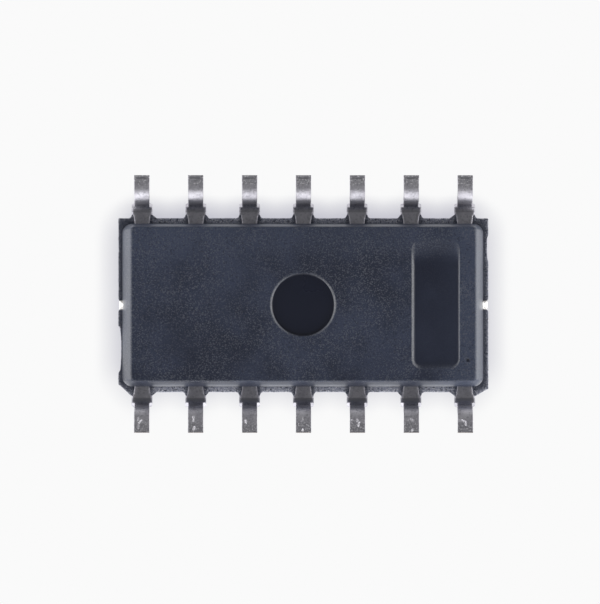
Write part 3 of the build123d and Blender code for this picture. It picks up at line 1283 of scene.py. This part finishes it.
    def _dimple(self, shell: SurfaceBuilder) -> np.ndarray:
        """The dimple in the top face that shows where lead 1 is.

        Args:
            shell: Where it goes.

        Returns:
            Indices of its lip.
        """
        radius, depth = self.dimple_radius, self.dimple_depth
        lip_ring, floor_ring = self.dimple_rings
        corners = [(radius + lip_ring, 0.0), (radius, 0.0), (radius - self.dimple_wall, depth),
                   (radius - floor_ring, depth)]
        profile = rounded_path(corners, self.dimple_round)
        return self._round_recess(
            shell, self.dimple_place, profile, self.top, self.dimple_polish, self.dimple_steps
        )

    def _pocket_wear(self, lip: np.ndarray) -> np.ndarray:
        """Painted sheen on the pocket's lip: most along its left side, less along the right, least at its
        ends.

        Args:
            lip: Points of the lip, from the middle of the pocket.

        Returns:
            The painted sheen at each point.
        """
        left, right, ends = self.pocket_worn
        side_start, side_run = self.pocket_side_fade
        near_start, near_run = self.pocket_near_fade
        straight = np.abs(lip[:, 0]) / self.pocket_half_width
        side = np.where(lip[:, 0] < 0, left, right)
        from_near = np.clip((lip[:, 1] + self.pocket_half_length - near_start) / near_run, 0.0, 1.0)
        return ends + (side - ends) * np.clip((straight - side_start) / side_run, 0.0, 1.0) * from_near

    def _pocket(self, shell: SurfaceBuilder) -> np.ndarray:
        """The bare shallow pocket, with steep long sides and ends that fade into the face.

        Args:
            shell: Where it goes.

        Returns:
            Indices of its lip, the hole in the face.
        """
        points = self.pocket_stations
        mouth_x, mouth_y = self.pocket_half_width, self.pocket_half_length
        centre = (self.pocket_centre, 0.0)
        left, right = -mouth_x + self.pocket_sides_in[0], mouth_x - self.pocket_sides_in[1]
        near, far = -mouth_y + self.pocket_ends_in[0], mouth_y - self.pocket_ends_in[1]
        lip = points.rectangle(mouth_x, mouth_y, self.pocket_corner)
        corners = [(left, near), (right, near), (right, far), (left, far)]
        floor = points.walk(corners, self.pocket_floor_corner)
        around = lip * (1.0 + self.pocket_ring / mouth_x, 1.0 + self.pocket_ring / mouth_y) + centre
        # This wear value is a painted sheen along the pocket's lip, fading down into the pocket.
        wear = self._pocket_wear(lip)
        fade_start, fade_rate = self.pocket_down_fade
        loops = [shell.loop(around, self.bottom)]
        for share in self.pocket_rings:
            plan = lip + (floor - lip) * share + centre
            sunk = eased(share)
            worn_and_sheen = wear * min(1.0, max(0.0, fade_start - fade_rate * share))
            height = self.bottom + self.pocket_depth * sunk
            loops.append(shell.loop(plan, height, self.pocket_polish * sunk, worn_and_sheen))
        shell.bands(loops, turned=True)
        shell.cap([loops[-1]], up=False)
        return loops[0]


@dataclass(frozen=True)
class RowMarks:
    """What differs between the two rows. Row side is the sign of its Y, and the others are as on the tree."""

    row_side: float
    sole_wear: float
    groove_depth: float
    groove_stain: float
    bend_stain: float
    bend_clear_from: float
    bend_clear_by: float
    stub_stain: float
    sole_stain: float


@dataclass(frozen=True)
class GullWingLeads:
    """The fourteen leads, all made by one geometry tree that sweeps and bends a stamped strip."""

    # Sizes that the tree is given, in the order of its inputs
    row: LeadRow = LeadRow()
    thickness: float = 0.18
    tip_width: float = 0.365
    blade_width: float = 0.351
    neck_width: float = 0.385
    neck_end_width: float = 0.43
    stub_width: float = 0.49
    finger_width: float = 0.30
    blade_round: float = 0.012
    neck_round: float = 0.056
    body_side: float = 1.925
    stub_start: float = 2.16
    neck_flare: float = 0.05
    sole_length: float = 0.275
    groove_from_tip: float = 0.064
    groove_half: float = 0.018
    unevenness: float = 0.0035
    lengths: tuple[str, ...] = (
        "thickness", "tip_width", "blade_width", "neck_width", "neck_end_width", "stub_width",
        "finger_width", "blade_round", "neck_round", "body_side", "stub_start", "stub_end", "neck_flare",
        "tip", "sole_length", "groove_from_tip", "groove_half", "unevenness",
    )
    neck_stain: float = 0.42
    samples: int = 260
    cuts: int = 11
    near: RowMarks = RowMarks(
        row_side=-1.0, sole_wear=0.9, groove_depth=0.004 * MM, groove_stain=1.0, bend_stain=0.85,
        bend_clear_from=2.21 * MM, bend_clear_by=2.33 * MM, stub_stain=0.95, sole_stain=0.06,
    )
    far: RowMarks = RowMarks(
        row_side=1.0, sole_wear=1.0, groove_depth=0.0, groove_stain=0.0, bend_stain=1.0,
        bend_clear_from=2.27 * MM, bend_clear_by=2.42 * MM, stub_stain=0.8, sole_stain=0.30,
    )

    # The strip's middle line
    frame_middle: float = 0.89
    bend_start: float = 2.195
    bend_radius: float = 0.27
    bend_steps: int = 24
    stub_turn: float = 36.0
    riser_lean: float = 4.6
    root_length: float = 0.40
    knee_radius: float = 0.08
    side_fan: float = 0.78
    inner_tip: float = 1.25
    corner_tip: Pair = (1.85, 0.72)

    # Where the tree's changes start and end
    finger_share: float = 0.6
    stub_cut: float = 0.014
    round_cut: float = 0.03
    groove_band: Pair = (0.5, 1.4)
    groove_middle: Ramp = (0.55, 0.78, 1.0, 0.0)
    groove_beneath: Ramp = (-0.98, -0.90, 1.0, 0.0)
    uneven_size: float = 0.16
    uneven_range: Ramp = (0.2, 0.8, 0.0, -1.0)
    sole_eased: float = 0.3
    sole_beneath: Ramp = (-0.9, -0.4, 1.0, 0.15)
    bend_line: Pair = (0.02, 0.05)
    stub_sides: Pair = (0.84, 0.94)
    tip_margin: float = 0.02
    sharp_angle: float = 40.0

    @property
    def reach(self) -> float:
        """Length from a bend's start to the corner of its two straight runs."""
        return math.tan(math.radians(90 - self.riser_lean) / 2) * self.bend_radius

    @property
    def heel(self) -> float:
        """Where the flat sole starts, from the middle of the body."""
        drop = self.frame_middle - self.thickness / 2
        return self.bend_start + 2 * self.reach + drop * math.tan(math.radians(self.riser_lean))

    @property
    def tip(self) -> float:
        """How far out the lead reaches."""
        return self.heel + self.sole_length

    @property
    def stub_end(self) -> float:
        """Where the cut bar stub ends, on the strip's middle line and part way round the upper bend."""
        return self.bend_start + self.bend_radius * math.sin(math.radians(self.stub_turn))

    def _spine(self, lead_x: float) -> tuple[list[Triple], list[float]]:
        """Middle line of a lead of the +Y row, from the end of its finger to its tip.

        Args:
            lead_x: Where it stands along the body.

        Returns:
            Its corners and their radii.
        """
        inner = (lead_x * self.side_fan, self.inner_tip)
        if abs(lead_x) >= self.row.places[-1]:
            inner = (math.copysign(self.corner_tip[0], lead_x), self.corner_tip[1])
        low = self.thickness / 2
        points = [
            (*inner, self.frame_middle), (lead_x, self.body_side - self.root_length, self.frame_middle),
            (lead_x, self.bend_start + self.reach, self.frame_middle), (lead_x, self.heel - self.reach, low),
            (lead_x, self.tip, low),
        ]
        return points, [0.0, self.knee_radius, self.bend_radius, self.bend_radius, 0.0]

    def _tree(self, materials: Materials) -> tuple[bpy.types.NodeTree, dict[str, str]]:
        """Builds the geometry tree.

        Args:
            materials: The finishes by name.

        Returns:
            The tree, and the identifier of each input by its name.
        """
        tree = bpy.data.node_groups.new("Bent stamped strip", "GeometryNodeTree")
        tree.interface.new_socket("Geometry", in_out="OUTPUT", socket_type="NodeSocketGeometry")
        tree.interface.new_socket("Geometry", in_out="INPUT", socket_type="NodeSocketGeometry")
        names = {}
        for key, value in self._inputs(self.far, 0).items():
            kind = "NodeSocketInt" if isinstance(value, int) else "NodeSocketFloat"
            names[key] = tree.interface.new_socket(key, in_out="INPUT", socket_type=kind).identifier
        graph = Graph(tree)
        given = graph.add("NodeGroupInput").outputs
        strip = self._sweep(graph, given)
        centre, section, upward, across = self._read(graph)
        y = graph.split(centre)[1]
        corner = graph.vector("SINE", graph.scale(section, math.pi / 2))
        flat = graph.split(self._rounded(graph, given, y, corner))
        groove = self._groove(graph, given, y, corner)
        raised = graph.math("MULTIPLY_ADD", groove, given["Groove depth"], flat[1])
        moved = graph.vector("ADD", centre, graph.scale(across, flat[0]))
        moved = graph.vector("ADD", moved, graph.scale(upward, raised))
        uneven = graph.add("ShaderNodeTexNoise", {
            "Vector": moved, "W": given["Seed"], "Scale": 1.0 / (self.uneven_size * MM), "Detail": 1.0,
        }, noise_dimensions="4D").outputs[0]
        lift = graph.times(graph.ramp(uneven, *self.uneven_range), given["Unevenness"])
        inwards = graph.scale(upward, graph.times(lift, graph.math("SIGN", flat[1])))
        moved = graph.vector("ADD", moved, inwards)
        facing = graph.join(given["Row side"], given["Row side"], 1.0)
        strip = graph.add("GeometryNodeSetPosition", {
            "Geometry": strip, "Position": graph.vector("MULTIPLY", moved, facing),
        }).outputs[0]
        heel = graph.minus(given["Tip"], given["Sole length"])
        on_sole = graph.ramp(y, heel, graph.math("MULTIPLY_ADD", given["Sole length"], self.sole_eased, heel))
        split = graph.split(corner)
        beneath = graph.ramp(split[1], *self.sole_beneath)
        worn_and_sheen = graph.times(graph.times(on_sole, beneath), given["Sole wear"])
        strip = self._store(graph, strip, "wear", worn_and_sheen)
        # The stain value: painted shade on the neck, the bend and into the riser, and darker stub sides,
        # groove and sole.
        before_end = graph.ramp(y, given["Bend clear from"], given["Bend clear by"], 1.0, 0.0)
        line = [graph.plus(given["Stub start"], past * MM) for past in self.bend_line]
        in_bend = graph.ramp(y, *line, given["Neck stain"], given["Bend stain"])
        on_stub = graph.ramp(y, *line, 0.0, given["Stub stain"])
        at_side = graph.ramp(graph.math("ABSOLUTE", split[0]), *self.stub_sides)
        change = graph.times(graph.minus(on_stub, in_bend), at_side)
        on_neck = graph.times(graph.plus(in_bend, change), before_end)
        stain = graph.math("MULTIPLY_ADD", groove, given["Groove stain"], on_neck)
        stain = graph.math("MULTIPLY_ADD", on_sole, given["Sole stain"], stain)
        strip = self._store(graph, strip, "stain", stain)
        strip = graph.add("GeometryNodeRealizeInstances", {"Geometry": strip}).outputs[0]
        finish = {"Geometry": strip, "Material": materials["tin"]}
        strip = graph.add("GeometryNodeSetMaterial", finish).outputs[0]
        graph.add("NodeGroupOutput", {"Geometry": strip})
        return tree, names

    def _sweep(self, graph: Graph, given: Sockets) -> Socket:
        """Sweeps a square of two units along the rounded spine, with what its points need to be placed.

        Args:
            graph: The tree's graph.
            given: The tree's inputs.

        Returns:
            The swept mesh, whose points carry the spine's place and direction and their place in the square.
        """
        spine = graph.add("GeometryNodeMeshToCurve", {"Mesh": given["Geometry"]}).outputs[0]
        radius = graph.add("GeometryNodeInputNamedAttribute", {"Name": "corner_radius"}, data_type="FLOAT")
        spine = graph.add("GeometryNodeFilletCurve", {
            "Curve": spine, "Radius": graph.socket(radius.outputs, "Attribute"), "Limit Radius": True,
            "Count": self.bend_steps,
        }, mode="POLY").outputs[0]
        spine = graph.add("GeometryNodeResampleCurve", {"Curve": spine, "Count": given["Samples"]}).outputs[0]
        place = graph.add("GeometryNodeInputPosition").outputs[0]
        along = graph.add("GeometryNodeInputTangent").outputs[0]
        spine = self._store(graph, spine, "centre", place, "FLOAT_VECTOR")
        spine = self._store(graph, spine, "along", along, "FLOAT_VECTOR")
        sides = {"Width": 2.0, "Height": 2.0}
        square = graph.add("GeometryNodeCurvePrimitiveQuadrilateral", sides).outputs[0]
        square = graph.add("GeometryNodeSubdivideCurve", {"Curve": square, "Cuts": given["Cuts"]}).outputs[0]
        square = self._store(graph, square, "section", place, "FLOAT_VECTOR")
        return graph.add("GeometryNodeCurveToMesh", {
            "Curve": spine, "Profile Curve": square, "Fill Caps": True,
        }).outputs[0]

    @staticmethod
    def _store(graph: Graph, geometry: Socket, name: str, value: Socket, kind: str = "FLOAT") -> Socket:
        """Keeps a value on every point under a name."""
        inputs = {"Geometry": geometry, "Name": name, "Value": value}
        node = graph.add("GeometryNodeStoreNamedAttribute", inputs, data_type=kind, domain="POINT")
        return node.outputs[0]

    @staticmethod
    def _read(graph: Graph) -> tuple[Socket, ...]:
        """Reads what the sweep kept.

        Args:
            graph: The tree's graph.

        Returns:
            The spine's point, the place in the square, and the strip's upward and sideways directions.
        """
        read = []
        for key in ("centre", "section", "along"):
            node = graph.add("GeometryNodeInputNamedAttribute", {"Name": key}, data_type="FLOAT_VECTOR")
            read.append(graph.socket(node.outputs, "Attribute"))
        centre, section, along = read
        across = graph.vector("NORMALIZE", graph.vector("CROSS_PRODUCT", (0.0, 0.0, 1.0), along))
        upward = graph.vector("CROSS_PRODUCT", along, across)
        return centre, section, upward, across

    def _rounded(self, graph: Graph, given: Sockets, y: Socket, corner: Socket) -> Socket:
        """Gives the square the strip's width and thickness and rounds its long edges.

        Args:
            graph: The tree's graph.
            given: The tree's inputs.
            y: Distance from the middle of the body.
            corner: Place in the square, from -1 to 1.

        Returns:
            Place in the strip's section.
        """
        half_thick = graph.times(given["Thickness"], 0.5)
        half_wide = self._half_width(graph, given, y)
        half = graph.join(half_wide, half_thick)
        past_stub = graph.plus(given["Stub end"], self.round_cut * MM)
        radius = graph.ramp(y, given["Stub end"], past_stub, given["Neck round"], given["Blade round"])
        rounding = graph.join(radius, radius)
        place = graph.vector("MULTIPLY", corner, half)
        limit = graph.vector("SUBTRACT", half, rounding)
        core = graph.vector("MINIMUM", graph.vector("MAXIMUM", place, graph.scale(limit, -1.0)), limit)
        away = graph.vector("NORMALIZE", graph.vector("SUBTRACT", place, core))
        return graph.vector("ADD", core, graph.scale(away, radius))

    def _half_width(self, graph: Graph, given: Sockets, y: Socket) -> Socket:
        """Half the strip's width at a place: finger, neck, flare, cut stub and blade.

        Args:
            graph: The tree's graph.
            given: The tree's inputs.
            y: Distance from the middle of the body.

        Returns:
            The half width's socket.
        """
        inside = graph.times(given["Body side"], self.finger_share)
        flare = graph.minus(given["Stub start"], given["Neck flare"])
        past_stub = graph.plus(given["Stub end"], self.stub_cut * MM)
        steps = (
            (inside, given["Body side"], "Finger width", "Neck width"),
            (given["Body side"], flare, "Neck width", "Neck end width"),
            (flare, given["Stub start"], "Neck end width", "Stub width"),
            (given["Stub end"], past_stub, "Stub width", "Blade width"),
            (past_stub, given["Tip"], "Blade width", "Tip width"),
        )
        whole = given["Finger width"]
        for start, end, before, after in steps:
            change = graph.minus(given[after], given[before])
            whole = graph.math("MULTIPLY_ADD", graph.ramp(y, start, end), change, whole)
        return graph.times(whole, 0.5)

    def _groove(self, graph: Graph, given: Sockets, y: Socket, corner: Socket) -> Socket:
        """Finds the shallow groove that a forming tool pressed across the middle of a sole, close to its tip.

        Args:
            graph: The tree's graph.
            given: The tree's inputs.
            y: Distance from the middle of the body.
            corner: Place in the square, from -1 to 1.

        Returns:
            The groove's share of its depth.
        """
        split = graph.split(corner)
        middle = graph.minus(given["Tip"], given["Groove from tip"])
        from_middle = graph.minus(middle, y)
        band = [graph.times(given["Groove half"], share) for share in self.groove_band]
        in_band = graph.ramp(graph.math("ABSOLUTE", from_middle), *band, 1.0, 0.0)
        in_middle = graph.ramp(graph.math("ABSOLUTE", split[0]), *self.groove_middle)
        beneath = graph.ramp(split[1], *self.groove_beneath)
        return graph.times(in_band, graph.times(in_middle, beneath))

    def _inputs(self, marks: RowMarks, seed: int) -> dict[str, float | int]:
        """Values of the tree's inputs for one lead.

        Args:
            marks: What its row has. The -Y row is the other one turned half round, with its own marks.
            seed: Seed of its unevenness.

        Returns:
            The values by the inputs' names, lengths in metres.
        """
        made = {name: getattr(self, name) * MM for name in self.lengths} | asdict(marks)
        made |= {"seed": float(seed), "samples": self.samples, "cuts": self.cuts}
        made["neck_stain"] = self.neck_stain
        return {name.replace("_", " ").capitalize(): value for name, value in made.items()}

    def build(self, materials: Materials) -> list[bpy.types.Object]:
        """Makes the leads in place of their plain solids.

        Args:
            materials: The finishes by name.

        Returns:
            The leads in their order round the body.
        """
        tree, names = self._tree(materials)
        near = [(-x, self.near) for x in self.row.places]
        far = [(x, self.far) for x in reversed(self.row.places)]
        made = []
        for number, (lead_x, marks) in enumerate(near + far, start=1):
            points, radii = self._spine(lead_x)
            mesh = bpy.data.meshes.new("spine")
            edges = [(i, i + 1) for i in range(len(points) - 1)]
            mesh.from_pydata([tuple(c * MM for c in p) for p in points], edges, [])
            corner = mesh.attributes.new("corner_radius", "FLOAT", "POINT")
            corner.data.foreach_set("value", [r * MM for r in radii])
            source = place_object(f"spine_{number:02d}", mesh)
            modifier = source.modifiers.new("strip", "NODES")
            modifier.node_group = tree
            for key, value in self._inputs(marks, number).items():
                modifier[names[key]] = value
            made.append(self._bake(source, number, materials))
        log.info("gull wing leads: %d of %d faces each", len(made), len(made[0].data.polygons))
        return made

    def _bake(self, source: bpy.types.Object, number: int, materials: Materials) -> bpy.types.Object:
        """Turns the tree's result into a plain mesh that stands for one CAD lead.

        Args:
            source: The spine with its modifier.
            number: The lead's number.
            materials: The finishes by name.

        Returns:
            The lead.
        """
        graph = bpy.context.evaluated_depsgraph_get()
        mesh = bpy.data.meshes.new_from_object(source.evaluated_get(graph))
        source.modifiers.clear()
        bpy.data.objects.remove(source)
        face_outwards(mesh)
        mesh.materials.clear()
        mesh.materials.append(materials["tin"])
        mesh.materials.append(materials["cut"])
        tip = max(abs(v.co.y) for v in mesh.vertices)
        for face in mesh.polygons:
            at_tip = abs(face.center.y) > tip - self.tip_margin * MM
            face.material_index = int(len(face.vertices) > 4 and at_tip)
        mesh.shade_smooth()
        mesh.set_sharp_from_angle(angle=math.radians(self.sharp_angle))
        lead = place_object(f"gull_wing_lead_{number:02d}", mesh)
        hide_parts(f"lead_{number:02d}")
        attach(lead, BODY)
        return lead


@dataclass(frozen=True)
class TieBarEnds:
    """The two ends of the paddle's tie bars, smeared over into a bright slanted lip by the shear."""

    half_width: float = 0.104
    root: float = 4.235
    end: float = 4.345
    frame_bottom: float = 0.80
    lip_drop: float = 0.078
    lip_slope: float = 0.85
    lip_end: float = 0.002
    below_frame: float = 0.0005
    squareness: int = 6
    body: float = 0.012
    steps: int = 14
    across: tuple[float, ...] = (-1.0, -0.94, -0.7, 0.0, 0.7, 0.94, 1.0)
    sharp_angle: float = 40.0

    def build(self, materials: Materials) -> None:
        """Makes both lips.

        Args:
            materials: The finishes by name.
        """
        share = np.linspace(0.0, 1.0, self.steps)
        x = self.root + (self.end - self.root) * share
        drop = self.lip_drop * (1.0 - share) ** self.lip_slope + self.lip_end
        over = np.full(self.steps, self.frame_bottom + self.body)
        for name, side in (("left", -1.0), ("right", 1.0)):
            shell = SurfaceBuilder()
            loops = []
            for across in self.across:
                round_off = math.sqrt(max(0.0, 1.0 - across**self.squareness))
                under = self.frame_bottom - drop * round_off - self.below_frame
                plan_x = side * np.concatenate([x, x[::-1]])
                plan = np.column_stack([plan_x, np.full(2 * self.steps, side * across * self.half_width)])
                loops.append(shell.loop(plan, np.concatenate([under, over[::-1]])))
            shell.bands(loops)
            for outline in (loops[0], loops[-1][::-1]):
                shell.faces.append(tuple(outline.tolist()))
                shell.finishes.append(0)
            lip = shell.finish(f"tie_bar_end_{name}", [materials["bar"]], self.sharp_angle)
            face_outwards(lip.data)
            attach(lip, BODY)
        log.info("tie bar ends: 2")


@dataclass(frozen=True)
class InnerParts:
    """The pieces sealed in the resin. Their solids stay, each with its own finish."""

    finishes: dict[str, str] = field(default_factory=lambda: {
        "die_paddle": "bar", "die_attach": "adhesive", "silicon_die": "silicon", "bond_wire": "gold",
    })

    def build(self, nodes: dict[str, bpy.types.Object], materials: Materials) -> None:
        """Dresses the nodes.

        Args:
            nodes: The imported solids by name.
            materials: The finishes by name.
        """
        for name, node in nodes.items():
            for start, finish in self.finishes.items():
                if name.startswith(start):
                    node.data.materials.clear()
                    node.data.materials.append(materials[finish])
        log.info("paddle, die, adhesive and bond wires dressed")


# Studio


@dataclass(frozen=True)
class SoftLamp:
    """A round soft light that is so far away that it is even all over the chip."""

    name: str
    towards: Triple
    width: float
    radiance: float

    def build(self) -> None:
        """Makes the lamp, shining from the direction that it stands in."""
        half = math.radians(self.width) / 2
        light = bpy.data.lights.new(self.name, "SUN")
        light.angle = 2 * half
        light.energy = self.radiance * math.pi * math.sin(half) ** 2
        lamp = place_object(self.name, light)
        lamp.rotation_mode = "QUATERNION"
        lamp.rotation_quaternion = Vector(self.towards).to_track_quat("Z", "Y")


def leaning(turn: float, off_axis: float, below: bool) -> Triple:
    """Direction of a lamp.

    Args:
        turn: Azimuth in degrees, anticlockwise from +X as seen from above.
        off_axis: Degrees away from straight up or straight down.
        below: Whether it is measured from straight down.

    Returns:
        The direction.
    """
    around, lean = math.radians(turn), math.radians(off_axis)
    level = math.sin(lean)
    return (math.cos(around) * level, math.sin(around) * level, math.cos(lean) * (-1 if below else 1))


@dataclass(frozen=True)
class Studio:
    """Camera, lamps, world, and the pale floor and backdrop.

    The picture is taken almost straight up from below, with the chip lying on its top face against a pale
    backdrop. The floor is for the views from above. Each of the two planes shows from one side only.
    """

    white: float = 0.956
    shade: Colour = (0.51, 0.51, 0.58)
    shade_reach: float = 0.80
    shade_lean: Pair = (0.06, 0.45)
    shade_range: Pair = (0.30, 0.98)
    shade_samples: int = 24
    half_size: float = 650.0
    gap: float = 0.003
    camera_distance: float = 265.0
    camera_side: Triple = (-0.00524, 0.0349, -0.9994)
    camera_target: Triple = (-0.0836, -0.0440, 0.0)
    camera_sees: Pair = (0.01, 10.0)
    view_height: float = 14.222
    sensor: float = 36.0
    above: float = 1.35
    zenith: float = 0.15
    below: float = 0.24
    dome: Pair = (0.84, 0.96)
    horizon: Pair = (-0.20, 0.06)
    lamps: tuple[SoftLamp, ...] = (
        SoftLamp("key below", leaning(90, 79, True), 88, 1.72),
        SoftLamp("fill below", leaning(-90, 38, True), 46, 0.11),
        SoftLamp("low near", leaning(-90, 82, True), 50, 0.36),
        SoftLamp("left below", leaning(180, 78, True), 44, 2.5),
        SoftLamp("right below", leaning(0, 78, True), 44, 2.5),
        SoftLamp("key above", leaning(235, 45, False), 60, 0.25),
    )

    def build(self, top: float) -> None:
        """Sets the whole studio.

        Args:
            top: Height of the chip's top face, in metres.
        """
        scene = bpy.context.scene
        scene.view_settings.view_transform = "Standard"
        self._world(scene)
        self._camera(scene)
        for lamp in self.lamps:
            lamp.build()
        self._plane("floor", -self.gap * MM, True)
        self._plane("backdrop", top + self.gap * MM, False)
        log.info("studio: %d lamps, floor and backdrop", len(self.lamps))

    def _camera(self, scene: bpy.types.Scene) -> None:
        """Looks up at the underside, with +X to the right and -Y at the top of the picture.

        Args:
            scene: The scene that it is the camera of.
        """
        data = bpy.data.cameras.new("camera")
        data.sensor_width = self.sensor
        data.lens = self.sensor * self.camera_distance / self.view_height
        data.clip_start, data.clip_end = self.camera_sees
        camera = place_object("camera", data)
        back = Vector(self.camera_side).normalized()
        right = Vector((0.0, -1.0, 0.0)).cross(back).normalized()
        camera.location = (Vector(self.camera_target) + back * self.camera_distance) * MM
        camera.rotation_mode = "QUATERNION"
        camera.rotation_quaternion = Matrix((right, back.cross(right), back)).transposed().to_quaternion()
        scene.camera = camera

    def _world(self, scene: bpy.types.Scene) -> None:
        """Soft light from all round, darker below.

        Args:
            scene: The scene that it lights.
        """
        world = bpy.data.worlds.new("studio")
        scene.world = world
        graph = Graph.emptied(world)
        height = graph.split(graph.add("ShaderNodeTexCoord").outputs["Generated"])[2]
        dome = graph.ramp(height, *self.dome, self.above, self.zenith, smooth=True)
        strength = graph.ramp(height, *self.horizon, self.below, dome, smooth=True)
        light = graph.add("ShaderNodeBackground", {"Strength": strength}).outputs[0]
        white = graph.add("ShaderNodeBackground", {"Strength": self.white}).outputs[0]
        seen = graph.add("ShaderNodeLightPath").outputs["Is Camera Ray"]
        both = graph.add("ShaderNodeMixShader", {0: seen, 1: light, 2: white}).outputs[0]
        graph.add("ShaderNodeOutputWorld", {"Surface": both})

    def _plane(self, name: str, height: float, faces_up: bool) -> None:
        """A pale glowing plane with a painted shadow: an occlusion test darkens it softly close to the chip.
        It shows on one side only.

        Args:
            name: Its name.
            height: Its height in metres.
            faces_up: Which side shows.
        """
        half = self.half_size * MM
        corners = [(-half, -half, height), (half, -half, height), (half, half, height), (-half, half, height)]
        mesh = bpy.data.meshes.new(name)
        mesh.from_pydata(corners, [], [(0, 1, 2, 3) if faces_up else (3, 2, 1, 0)])
        material = bpy.data.materials.new(name)
        graph = Graph.emptied(material)
        towards = graph.join(*Vector((*self.shade_lean, 1.0 if faces_up else -1.0)).normalized())
        open_share = graph.add("ShaderNodeAmbientOcclusion", {
            "Distance": self.shade_reach * MM, "Normal": towards,
        }, samples=self.shade_samples).outputs["AO"]
        lit = graph.ramp(open_share, *self.shade_range)
        colour = graph.mix(lit, self.shade, (self.white, self.white, self.white))
        front = graph.add("ShaderNodeEmission", {"Color": colour}).outputs[0]
        back = graph.add("ShaderNodeBsdfTransparent").outputs[0]
        hidden = graph.add("ShaderNodeNewGeometry").outputs["Backfacing"]
        both = graph.add("ShaderNodeMixShader", {0: hidden, 1: front, 2: back}).outputs[0]
        graph.add("ShaderNodeOutputMaterial", {"Surface": both})
        mesh.materials.append(material)
        plane = place_object(name, mesh)
        plane.visible_diffuse = plane.visible_glossy = plane.visible_transmission = False
        plane.visible_volume_scatter = plane.visible_shadow = False
        plane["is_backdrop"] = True


def main() -> None:
    """Loads the frame, dresses the chip and sets the studio."""
    logging.basicConfig(level=logging.INFO, format="%(name)s: %(message)s")
    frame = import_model()
    cad_box = [list(corner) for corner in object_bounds()]
    materials = Finishes().build()
    MouldedBody().build(materials)
    GullWingLeads().build(materials)
    TieBarEnds().build(materials)
    InnerParts().build(frame["nodes"], materials)
    Studio().build(cad_box[1][2])


if __name__ == "__main__":
    main()
